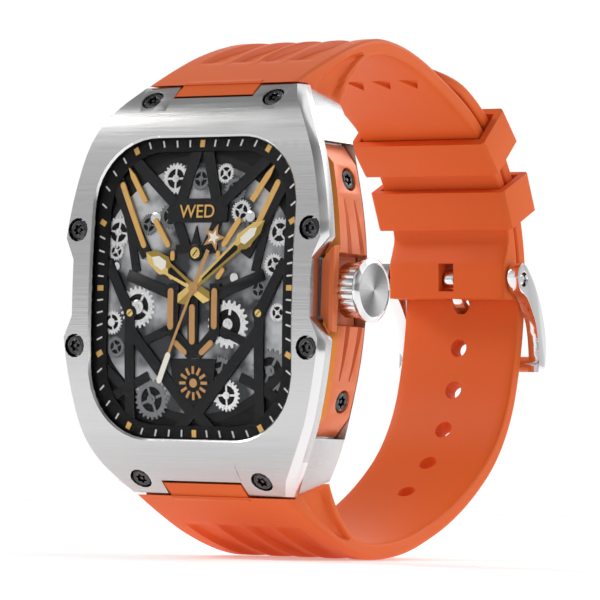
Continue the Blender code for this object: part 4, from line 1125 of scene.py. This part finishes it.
class WATCH_OT_strap(bpy.types.Operator):
    """Both rubber straps, with channels, side recesses, holes and the tang's window"""
    bl_idname = "watch.strap"
    bl_label = "Strap"

    def execute(self, context):
        self.upper()
        self.lower()
        return {"FINISHED"}

    def upper(self):
        loops = [strap_loop(a, b, strap_half(a[0]), flute_share(a[0])) for a, b in root_pairs()]
        for station in follow((ROOT_END_Y, ROOT_TOP), UPPER_ARCS + ((60.0, 1.0),)):
            y, _, heading, _ = station
            swell = held((heading - SWELL_START) / SWELL_OVER)
            thick = STRAP_THICK + (BUCKLE_END_THICK - STRAP_THICK) * swell
            tuck = layer_tuck(y)
            outer, inner = offset(station, -tuck), offset(station, -tuck - thick)
            loops.append(strap_loop(outer, inner, strap_half(y), flute_share(y, heading)))
        strap = trim_root(loft("strap_short", loops, "rubber"), 1)
        bar_y, bar_z = BUCKLE_BAR
        slot = TANG_HALF + 0.5
        window = self.box("window", 50, 64, bar_z - 1.85, bar_z + 2.3, slot)
        mouth = self.box("mouth", bar_y - 0.6, 64, bar_z - 6, bar_z, slot)
        hole = rod(BAR_HOLE_R, (0, bar_y, bar_z), (1, 0, 0), -CUT_REACH, CUT_REACH)
        cut(strap, [hole, window, mouth, vents(1)])
        bake(tidy(strap, 0.001), 34.0)
        show(strap, CASE, "orange_rubber", "strap_upper")

    def box(self, name, near, far, low, high, half):
        return prism(name, [(near, low), (far, low), (far, high), (near, high)], half)

    def lower(self):
        stations = follow((ROOT_END_Y, ROOT_TOP - STRAP_THICK), LOWER_ARCS + TAIL_ARCS)
        loops = [strap_loop(a, b, strap_half(a[0]), flute_share(a[0])) for a, b in root_pairs()]
        total = stations[-1][3]
        for station in stations:
            y, _, heading, run = station
            left = total - run
            half = min(strap_half(y), STRAP_HALF) if run > TAIL_RUN else strap_half(y)
            half -= LAYER_GAP * held(run / TAIL_RUN)
            half *= 1 - TAIL_NARROWS * max(1 - left / TAIL_TAPER, 0.0) ** 1.9
            thin = 0.09 * max(10 - left / 2.2, 0.0)
            tuck = layer_tuck(y)
            outer, inner = offset(station, tuck + STRAP_THICK - thin), offset(station, tuck)
            loops.append(strap_loop(outer, inner, half, flute_share(y, heading)))
        loops = [[(x, y, -z) for x, y, z in loop] for loop in loops]
        strap = trim_root(loft("strap_long", loops, "rubber"), -1)
        holes = []
        start = next(s[3] for s in stations if s[1] <= -TANG_HOLE_Z)
        for number in range(-5, 4):
            y, z, heading, _ = min(stations, key=lambda s: abs(s[3] - start - HOLE_PITCH * number))
            axis = (0.0, math.sin(math.radians(heading)), -math.cos(math.radians(heading)))
            holes.append(rod(HOLE_R, (0, y, -z), axis, -1.5, 4.5, HOLE_TAPER))
        cut(strap, [together("holes", holes), vents(-1)])
        bake(tidy(strap, 0.001), 34.0)
        show(strap, CASE, "orange_rubber", "strap_lower")


class WATCH_OT_buckle(bpy.types.Operator):
    """Keepers, buckle frame, bar and tang, with softened edges"""
    bl_idname = "watch.buckle"
    bl_label = "Keepers and buckle"

    def execute(self, context):
        for number in (1, 2):
            keeper = copied(f"keeper_{number}", f"strap_keeper_{number}", "rubber")
            bake(bevel(keeper, KEEPER_EDGE, 4), 40.0)
            show(keeper, f"keeper_{number}", "orange_rubber", f"keeper_{number}")
        for node, name, body, width in BUCKLE_PIECES:
            piece = copied(node, name, "polish")
            bake(bevel(piece, width, 3))
            show(piece, body, "polished_steel", node)
        return {"FINISHED"}


# ---------------------------------------------------------------- dial

def relief(name, outlines, top, finish, thick=0.3, edge=0.0, lift=None, step=0.004):
    """Shapes cut from sheet, in x and z, laid on the glass's curve at a depth below the bezel's front."""
    form = bmesh.new()
    for number, outline in enumerate(outlines):
        deep = top + step * number
        upper = [form.verts.new((x, deep + (lift(x, z) if lift else 0.0), z)) for x, z in outline]
        lower = [form.verts.new((x, deep + thick, z)) for x, z in outline]
        form.faces.new(upper)
        form.faces.new(lower[::-1])
        for k in range(len(outline)):
            n = (k + 1) % len(outline)
            form.faces.new((upper[k], lower[k], lower[n], upper[n]))
    tall = max(z for outline in outlines for _, z in outline)
    z = min(z for outline in outlines for _, z in outline) + 1.7
    while z < tall:
        geometry = list(form.verts) + list(form.edges) + list(form.faces)
        bmesh.ops.bisect_plane(form, geom=geometry, dist=1e-5, plane_co=(0, 0, z), plane_no=(0, 0, 1))
        z += 1.7
    bmesh.ops.recalc_face_normals(form, faces=form.faces)
    for vert in form.verts:
        vert.co.y += front(vert.co.z)
        vert.co *= MM
    mesh = bpy.data.meshes.new(name)
    form.to_mesh(mesh)
    form.free()
    piece = wrap(name, mesh, finish)
    if edge:
        bevel(piece, edge, 1, 40.0)
    return bake(piece, 30.0)


def bar(start, end, width, point=0.0):
    """Outline of a straight bar; a point makes its far end sharp."""
    a, b = Vector(start), Vector(end)
    along = (b - a).normalized()
    side = Vector((-along.y, along.x)) * width / 2
    corners = (a - side, b - side, b + side, a + side)
    if point:
        back = along * point
        corners = (a - side, b - side - back, b, b + side - back, a + side)
    return [tuple(p) for p in corners]


def baton(start, end, width, steps=5):
    """Outline of a bar with round ends."""
    a, b = Vector(start), Vector(end)
    heading = math.atan2(b.y - a.y, b.x - a.x)
    inset = (b - a).normalized() * width / 2
    points = []
    for centre, first in ((b - inset, -90), (a + inset, 90)):
        for k in range(steps + 1):
            angle = heading + math.radians(first + 180 * k / steps)
            points.append((centre.x + width / 2 * math.cos(angle),
                           centre.y + width / 2 * math.sin(angle)))
    return points


def both(outlines):
    """The outlines and their mirror images across the dial."""
    return outlines + [[(-x, z) for x, z in reversed(outline)] for outline in outlines]


def held_in(outline, radius):
    """An outline drawn in wherever it leaves a circle round the centre."""
    points = []
    for x, z in outline:
        share = min(1.0, radius / math.hypot(x, z))
        points.append((x * share, z * share))
    return points


def close_set(outline, count=12):
    """Adds points along an outline's long sides."""
    points = []
    for (x0, z0), (x1, z1) in zip(outline, outline[1:] + outline[:1]):
        parts = count if math.hypot(x1 - x0, z1 - z0) > 3 else 1
        points += [(x0 + (x1 - x0) * k / parts, z0 + (z1 - z0) * k / parts) for k in range(parts)]
    return points


def wheel_stamp(teeth, spokes=4):
    """A toothed wheel of radius 1 with spokes and a hub; its face is at the origin, looking +Z."""
    def disc(points, high, low):
        return [[(x, z, h) for x, z in points] for h in (high, low)]
    rim_out = []
    for k in range(teeth):
        for part, reach in ((0.0, 0.86), (0.2, 1.0), (0.5, 1.0), (0.7, 0.86)):
            angle = math.tau * (k + part) / teeth
            rim_out.append((reach * math.cos(angle), reach * math.sin(angle)))
    count = len(rim_out)
    rim_in = circle(0, 0, 0.62, count)
    rim = [[(x, z, h) for x, z in points] for points, h in
           ((rim_out, 0.0), (rim_out, -0.12), (rim_in, -0.12), (rim_in, 0.0))]
    parts = [loft("rim", rim, "wheel", closed=True)]
    for k in range(spokes):
        angle = math.tau * k / spokes
        end = (0.68 * math.cos(angle), 0.68 * math.sin(angle))
        parts.append(loft("spoke", disc(bar((0, 0), end, 0.13), -0.01 - 0.002 * k, -0.1), "wheel"))
    parts.append(loft("hub", disc(circle(0, 0, 0.24, 16), 0.03, -0.1), "wheel"))
    parts.append(loft("pin", disc(circle(0, 0, 0.1, 10), 0.07, 0.0), "wheel"))
    return together("wheel_stamp", parts)


def on_rect(angle, rect):
    """Where a ray at a clock angle meets a rounded rectangle, in x and z."""
    half_x, half_z, radius = rect
    dx, dz = abs(math.sin(angle)), abs(math.cos(angle))
    reach = min(half_x / max(dx, 1e-9), half_z / max(dz, 1e-9))
    cx, cz = half_x - radius, half_z - radius
    if reach * dx > cx and reach * dz > cz:
        along = dx * cx + dz * cz
        reach = along + math.sqrt(along ** 2 - cx ** 2 - cz ** 2 + radius ** 2)
    return reach * math.sin(angle), reach * math.cos(angle)


class WATCH_OT_dial(bpy.types.Operator):
    """Glass, dial plate, black surround, minute ticks and hour blocks"""
    bl_idname = "watch.dial"
    bl_label = "Dial and glass"

    def execute(self, context):
        inner = close_set(rounded(*DIAL_RECT))
        outer = close_set(rounded(*SURROUND_RECT))
        show(relief("dial_base", [inner], DEPTH["base"], "black", 0.25), CASE, "black_plastic")
        ring, disc = held_in(inner, RING_R), held_in(inner, DISC_R)
        show(relief("dial_ring", [ring], DEPTH["ring"], "bridge", 0.1), CASE, "black_plastic")
        show(relief("dial_plate", [disc], DEPTH["plate"], "plate", 0.1), CASE, "black_plastic")
        top, foot = DEPTH["surround"], 1.9
        chamfer = [(x * 1.012, z * 1.012) for x, z in inner]
        rings = [[(x, front(z) + deep, z) for x, z in points] for points, deep in
                 ((outer, top), (outer, foot), (inner, foot), (inner, 1.16), (chamfer, top))]
        surround = bake(loft("dial_surround", rings, "black", closed=True), 30.0)
        show(surround, CASE, "black_plastic")
        glass = relief("crystal", [close_set(rounded(*OPENING), 10)], DEPTH["glass"], "glass", 0.2)
        show(glass, CASE, "cover_glass", "cover_glass")

        for name, finish, wide, tall, wanted in (("minute_ticks", "tick", 0.22, 0.95, False),
                                                 ("hour_blocks", "gold", 0.74, 1.0, True)):
            x, z = wide / 2, tall / 2
            stamp = loft("tick", [[(-x, y, -z), (x, y, -z), (x, y, z), (-x, y, z)] for y in (-0.04, 0.06)],
                         finish)
            seats = []
            for k in range(60):
                if (k % 5 == 0) == wanted:
                    angle = math.radians(6 * k)
                    x, z = on_rect(angle, TICK_RECT)
                    lean = math.atan(slope(front, z))
                    turn = Matrix.Rotation(-lean, 3, "X") @ Matrix.Rotation(angle, 3, "Y")
                    seats.append(((x, front(z) + DEPTH["ticks"], z), tuple(turn.to_euler()), 1.0))
            slot = "gold_plate" if wanted else "black_plastic"
            show(scatter(name, stamp, seats, finish), CASE, slot)
        return {"FINISHED"}


class WATCH_OT_movement(bpy.types.Operator):
    """Wheels of the movement and the dark bridges over them"""
    bl_idname = "watch.movement"
    bl_label = "Wheels and bridges"

    def execute(self, context):
        for name, finish, wheels in (("wheels_silver", "wheel", SILVER_WHEELS),
                                     ("wheels_dark", "wheel_dark", DARK_WHEELS)):
            seats = []
            for number, (x, z, radius) in enumerate(wheels):
                axis = Vector((0, -1, slope(front, z))).normalized()
                place = (x, front(z) + DEPTH["wheels"] + 0.008 * number, z)
                seats.append((place, turn_to(axis, 0.7 * number), radius))
            show(scatter(name, wheel_stamp(sizes().gear_teeth), seats, finish), CASE, "black_plastic")
        wells = [circle(x, z, r * 0.8, 24) for x, z, r in SILVER_WHEELS + DARK_WHEELS]
        wells = relief("wheel_wells", wells, DEPTH["wells"], "black", 0.1, step=-0.0008)
        show(wells, CASE, "black_plastic")
        caps = [circle(x, z, r * 0.34, 20) for x, z, r in CAPS]
        show(relief("wheel_caps", caps, DEPTH["caps"], "wheel", 0.1, 0.05), CASE, "black_plastic")
        low = both([bar((0.9, 18.8), (2.9, 12.0), 1.7), bar((14.6, 3.7), (11.0, -3.0), 1.6),
                    bar((11.2, 1.8), (3.6, -0.9), 1.55), bar((11.4, 9.2), (9.8, 2.2), 1.3),
                    bar((13.8, 15.9), (11.4, 8.8), 1.3), bar((14.5, -15.3), (7.6, -12.0), 1.3),
                    bar((15.6, -10.3), (11.5, -13.8), 1.3), bar((9.0, -7.6), (4.4, -5.7), 1.2),
                    bar((3.3, 9.1), (1.5, 5.1), 1.5)])
        low.append(bar((-3.4, 5.3), (3.4, 5.3), 1.2))
        low.append([(-0.9, 6.0), (0.6, 6.0), (-0.15, 8.5)])
        show(relief("bridges_low", low, DEPTH["bridges_low"], "bridge", 0.3, 0.1), CASE, "black_plastic")
        high = both([bar((12.6, 18.9), (4.0, 11.6), 1.55), bar((14.9, 15.9), (8.1, 4.4), 1.75),
                     bar((10.7, -2.6), (10.7, -19.2), 1.55), bar((10.9, -5.4), (0.1, -17.4), 1.6),
                     bar((14.6, 3.6), (10.5, -3.6), 1.5), bar((0.3, -16.9), (2.9, -19.4), 1.5)])
        high.append([(-3.85, 12.2), (3.85, 12.2), (4.95, 11.1), (4.85, 8.9), (-4.85, 8.9), (-4.95, 11.1)])
        high.append(circle(0.0, 4.78, 1.15))
        high += both([circle(10.65, -3.4, 1.05), bar((3.4, 0.6), (3.4, -6.6), 1.7),
                      bar((3.3, -6.2), (0.3, -9.2), 1.6)])
        high.append(bar((-0.15, -1.0), (-0.15, -9.5), 1.7))
        high.append([(-3.9, -9.6), (3.7, -9.6), (3.2, -13.4), (0.0, -17.2), (-3.4, -13.4)])
        upper = relief("bridges_high", high, DEPTH["bridges_high"], "bridge", 0.34, 0.11)
        show(upper, CASE, "black_plastic")
        jewels = [circle(0.0, 4.78, 0.78)] + both([circle(10.6, -3.4, 0.52)])
        jewels = relief("bridge_screws", jewels, DEPTH["jewels"], "gold_bright", 0.14, 0.05)
        show(jewels, CASE, "gold_plate")
        slots = [bar((-0.35, 4.35), (0.35, 5.2), 0.16), bar((-10.9, -3.65), (-10.3, -3.15), 0.12),
                 bar((10.3, -3.7), (10.9, -3.1), 0.12)]
        show(relief("screw_slots", slots, DEPTH["slots"], "black", 0.06), CASE, "black_plastic")
        return {"FINISHED"}


class WATCH_OT_markers(bpy.types.Operator):
    """Gold batons, the round mark under the centre and the day in its window"""
    bl_idname = "watch.markers"
    bl_label = "Batons and day"

    def execute(self, context):
        upper = both([baton((13.0, 14.6), (8.45, 5.5), 0.88), bar((8.75, 11.8), (12.25, 16.9), 0.86, 1.9),
                      baton((7.1, 9.5), (4.4, 5.6), 0.84)])
        upper += both([baton((3.75, 5.1), (3.8, 3.7), 0.72), baton((4.75, 2.75), (3.65, 1.2), 0.72)])
        show(relief("batons_upper", upper, DEPTH["batons"], "gold", 0.24, 0.07), CASE, "gold_plate")
        lower = [baton((-3.8, 0.0), (-3.75, -5.7), 0.94), baton((-0.2, -2.2), (-0.15, -7.7), 0.94),
                 baton((3.4, 0.0), (3.45, -5.6), 0.94)] + both([baton((3.2, -7.2), (1.1, -9.0), 0.8)])
        for k in range(MARK_BARS):
            dx, dz = math.sin(math.tau * k / MARK_BARS), math.cos(math.tau * k / MARK_BARS)
            lower.append(bar((1.25 * dx, 1.25 * dz + MARK_Z), (2.3 * dx, 2.3 * dz + MARK_Z), 0.4))
        lower.append(circle(0.0, MARK_Z, 0.62))
        show(relief("batons_lower", lower, DEPTH["batons"], "gold_dark", 0.24, 0.05), CASE, "gold_plate")
        show(self.day(), CASE, "gold_plate")
        return {"FINISHED"}

    def day(self):
        """The day in raised letters, laid on the dial's curve."""
        curve = bpy.data.curves.new("day", "FONT")
        curve.body, curve.size, curve.align_x = "WED", DAY_TALL * MM, "CENTER"
        curve.extrude, curve.offset = 0.03 * MM, 0.012 * MM
        holder = bpy.data.objects.new("day_text", curve)
        bpy.context.scene.collection.objects.link(holder)
        bpy.context.view_layer.update()
        graph = bpy.context.evaluated_depsgraph_get()
        mesh = bpy.data.meshes.new_from_object(holder.evaluated_get(graph))
        bpy.data.objects.remove(holder)
        for vert in mesh.vertices:
            x, z, out = (c / MM for c in vert.co)
            vert.co = Vector((x, front(z + DAY_Z) + DEPTH["day"] - out, z + DAY_Z)) * MM
        day = wrap("day_window", mesh)
        mesh.materials.clear()
        mesh.materials.append(surface("gold"))
        return bake(tidy(day), 30.0)


class WATCH_OT_hands(bpy.types.Operator):
    """Faceted skeleton hands and a thin seconds hand with a star"""
    bl_idname = "watch.hands"
    bl_label = "Hands"

    def execute(self, context):
        hour = [(-3.1, 0.2), (-2.5, 0.95), (-0.3, 0.78), (1.0, 0.55), (5.1, 0.9), (5.9, 1.4), (8.3, 1.05),
                (9.4, 0.05)]
        minute = [(-3.1, 0.2), (-2.5, 0.92), (-0.3, 0.75), (1.0, 0.5), (9.2, 0.8), (9.9, 1.3), (12.9, 0.95),
                  (14.4, 0.05)]
        self.hand("hour", HOUR_ANGLE, hour, (1.4, 5.0, 0.5), (5.5, 8.2, 0.72), DEPTH["hour"])
        self.hand("minute", MINUTE_ANGLE, minute, (1.8, 9.0, 0.42), (9.7, 12.9, 0.6), DEPTH["minute"])
        aim = Vector(SECONDS_AIM).normalized()
        sweep = [bar(tuple(aim * -5.6), tuple(aim * 0.3), 0.6), bar((0, 0), tuple(aim * 9.7), 0.42),
                 circle(0, 0, 0.78, 20)]
        hand = relief("seconds_hand", sweep, DEPTH["seconds"], "gold_dark", 0.02, step=0.0)
        show(hand, CASE, "gold_plate")
        tip = [baton(tuple(aim * 9.6), tuple(aim * 14.2), 0.85)]
        show(relief("seconds_tip", tip, DEPTH["seconds_tip"], "lume", 0.03), CASE, "gold_plate")
        star_x, star_z = STAR_AT
        star = []
        for k in range(10):
            reach = STAR_REACH[k % 2]
            angle = math.tau * k / 10 + 0.35
            star.append((star_x + reach * math.sin(angle), star_z + reach * math.cos(angle)))
        show(relief("seconds_star", [star], DEPTH["star"], "gold_dark", 0.03), CASE, "gold_plate")
        heart = [(star_x + (x - star_x) * 0.55, star_z + (z - star_z) * 0.55) for x, z in star]
        show(relief("star_heart", [heart], DEPTH["star_heart"], "lume", 0.02), CASE, "gold_plate")
        return {"FINISHED"}

    def hand(self, name, degrees, half, slot, lume, top):
        """One hand: a half in bright gold as painted light and a half in dark gold as painted shade, with a
        ridge between, its slot and its lume.
        """
        along = Vector((math.sin(math.radians(degrees)), math.cos(math.radians(degrees))))
        side = Vector((-along.y, along.x))

        def spot(u, v):
            return tuple(along * u + side * v)

        def fall(x, z):
            return 0.035 * min(abs(side.dot(Vector((x, z)))), 1.0)
        # The lit half's bright gold is painted light and the shaded half's dark gold is painted shade, on top
        # of each half's real tilt.
        for sign, finish, word in ((1, "gold_bright", "lit"), (-1, "gold_shade", "shaded")):
            edge = [spot(u, sign * v) for u, v in half]
            outline = [spot(half[0][0] - 0.1, 0)] + edge + [spot(half[-1][0] + 0.05, 0)]
            show(relief(f"{name}_hand_{word}", [outline], top, finish, 0.05, lift=fall), CASE, "gold_plate")
        low, high, wide = slot
        hole = [spot(low, 0.12), spot(high - 0.3, wide), spot(high, 0), spot(high - 0.3, -wide),
                spot(low, -0.12)]
        show(relief(f"{name}_slot", [hole], top - 0.006, "black", 0.01), CASE, "black_plastic")
        low, high, wide = lume
        glow = [spot(low, 0.0), spot(low + 0.35, wide), spot(high - 0.9, wide), spot(high, 0),
                spot(high - 0.9, -wide), spot(low + 0.35, -wide)]
        show(relief(f"{name}_lume", [glow], top - 0.008, "lume", 0.012), CASE, "gold_plate")


# ---------------------------------------------------------------- inner pieces and stage

INNER = {
    "glass_gasket": "seal", "case_back_gasket": "seal", "crown_o_ring": "seal", "display_panel": "panel",
    "inner_frame": "plastic", "speaker": "plastic", "battery": "pouch", "vibration_motor": "pouch",
    "gps_antenna": "ceramic", "main_board": "board", "sensor_board": "board", "crown_switch": "copper",
    "charge_pin_1": "contact", "charge_pin_2": "contact", "lug_bar_top": "polish", "lug_bar_bottom": "polish",
    "crown_tube": "edge", "crown_shaft": "polish", "crown_clip": "edge",
}


class WATCH_OT_inside(bpy.types.Operator):
    """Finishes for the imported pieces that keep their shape"""
    bl_idname = "watch.inside"
    bl_label = "Inner pieces"

    def execute(self, context):
        for node, finish in INNER.items():
            repaint(node, finish)
        return {"FINISHED"}


class WATCH_OT_stage(bpy.types.Operator):
    """Pale floor, soft light and the camera"""
    bl_idname = "watch.stage"
    bl_label = "Stage"

    def execute(self, context):
        scene = context.scene
        floor_z = CAD_BOX[0][2] / MM - FLOOR_GAP
        ring = [(x, y, floor_z) for x, y in circle(0, 0, FLOOR_R, FLOOR_SIDES)]
        floor = mesh_piece("floor", ring, [tuple(range(FLOOR_SIDES))])
        floor.data.materials.append(surface("floor"))
        self.sky(scene)
        for name, spot, size, power, colour in LAMPS:
            light = bpy.data.lights.new(name, "AREA")
            light.shape, light.size, light.energy, light.color = "DISK", size * MM, power, colour
            self.hang(scene, light, Vector(spot) - Vector(LAMPS_AIM)).location = Vector(spot) * MM
        sun = bpy.data.lights.new("roof", "SUN")
        sun.energy, sun.angle = ROOF_POWER, math.radians(ROOF_SPREAD)
        self.hang(scene, sun, Vector(ROOF_FROM))
        self.camera(scene)
        return {"FINISHED"}

    def hang(self, scene, light, back):
        """Puts a light in the scene, shining away from a direction."""
        lamp = bpy.data.objects.new(light.name, light)
        lamp.rotation_euler = back.to_track_quat("Z", "Y").to_euler()
        scene.collection.objects.link(lamp)
        return lamp

    def sky(self, scene):
        """A soft studio that is white at the horizon and banded above it."""
        world = bpy.data.worlds.new("studio")
        world.use_nodes = True
        tree = world.node_tree
        coords = tree.nodes.new("ShaderNodeTexCoord")
        parts = tree.nodes.new("ShaderNodeSeparateXYZ")
        tree.links.new(coords.outputs["Generated"], parts.inputs[0])
        side_x, side_y = SKY_AXIS
        height = Wire(tree, parts.outputs["Z"])
        behind = Wire(tree, parts.outputs["Y"]) * side_y + Wire(tree, parts.outputs["X"]) * side_x
        mix = tree.nodes.new("ShaderNodeMix")
        mix.data_type, mix.blend_type = "RGBA", "MULTIPLY"
        mix.inputs[0].default_value = 1.0
        for along, stops, slot in ((height, SKY_BY_HEIGHT, 6), (behind, SKY_ROUND, 7)):
            ramp = tree.nodes.new("ShaderNodeValToRGB")
            set_stops(ramp.color_ramp, [(place, (value, value, value, 1)) for place, value in stops])
            (along * 0.5 + 0.5).join(ramp.inputs["Fac"])
            tree.links.new(ramp.outputs["Color"], mix.inputs[slot])
        tree.links.new(mix.outputs[2], tree.nodes["Background"].inputs["Color"])
        scene.world = world
        scene.view_settings.view_transform = "Standard"

    def camera(self, scene):
        azimuth, elevation, roll = map(math.radians, CAMERA_TURN)
        back = Vector((math.sin(azimuth) * math.cos(elevation), -math.cos(azimuth) * math.cos(elevation),
                       math.sin(elevation)))
        right = Vector((math.cos(azimuth), math.sin(azimuth), 0))
        up = back.cross(right)
        level, tilt = math.cos(roll), math.sin(roll)
        right, up = level * right + tilt * up, level * up - tilt * right
        spot = Vector(CAMERA_TARGET) + back * CAMERA_FAR + right * CAMERA_ACROSS + up * CAMERA_UP
        data = bpy.data.cameras.new("camera")
        data.sensor_width, data.lens = CAMERA_SENSOR, CAMERA_LENS
        data.clip_start, data.clip_end = 0.01, 20.0
        camera = bpy.data.objects.new("camera", data)
        turn = Matrix((right, up, back)).transposed()
        camera.matrix_world = Matrix.Translation(spot * MM) @ turn.to_4x4()
        scene.collection.objects.link(camera)
        scene.camera = camera


class WATCH_PT_panel(bpy.types.Panel):
    """Lists the watch's pieces"""
    bl_idname = "WATCH_PT_panel"
    bl_label = "Running watch"
    bl_space_type = "VIEW_3D"
    bl_region_type = "UI"
    bl_category = "Watch"

    def draw(self, context):
        layout = self.layout
        for group in (context.scene.watch_sizes, context.scene.watch_colours):
            for key in group.bl_rna.properties.keys():
                if key not in ("rna_type", "name"):
                    layout.prop(group, key)
        for operator in OPERATORS:
            layout.operator(operator.bl_idname)


OPERATORS = (WATCH_OT_case, WATCH_OT_inserts, WATCH_OT_screws, WATCH_OT_crown, WATCH_OT_dial,
             WATCH_OT_movement, WATCH_OT_markers, WATCH_OT_hands, WATCH_OT_strap, WATCH_OT_buckle,
             WATCH_OT_inside, WATCH_OT_stage)


def register():
    for kind in (WatchSizes, WatchColours, *OPERATORS, WATCH_PT_panel):
        bpy.utils.register_class(kind)
    bpy.types.Scene.watch_sizes = PointerProperty(type=WatchSizes)
    bpy.types.Scene.watch_colours = PointerProperty(type=WatchColours)


def unregister():
    del bpy.types.Scene.watch_sizes
    del bpy.types.Scene.watch_colours
    for kind in (WATCH_PT_panel, *reversed(OPERATORS), WatchColours, WatchSizes):
        bpy.utils.unregister_class(kind)


def main():
    register()
    for operator in OPERATORS:
        group, name = operator.bl_idname.split(".")
        getattr(getattr(bpy.ops, group), name)()


if __name__ == "__main__":
    main()
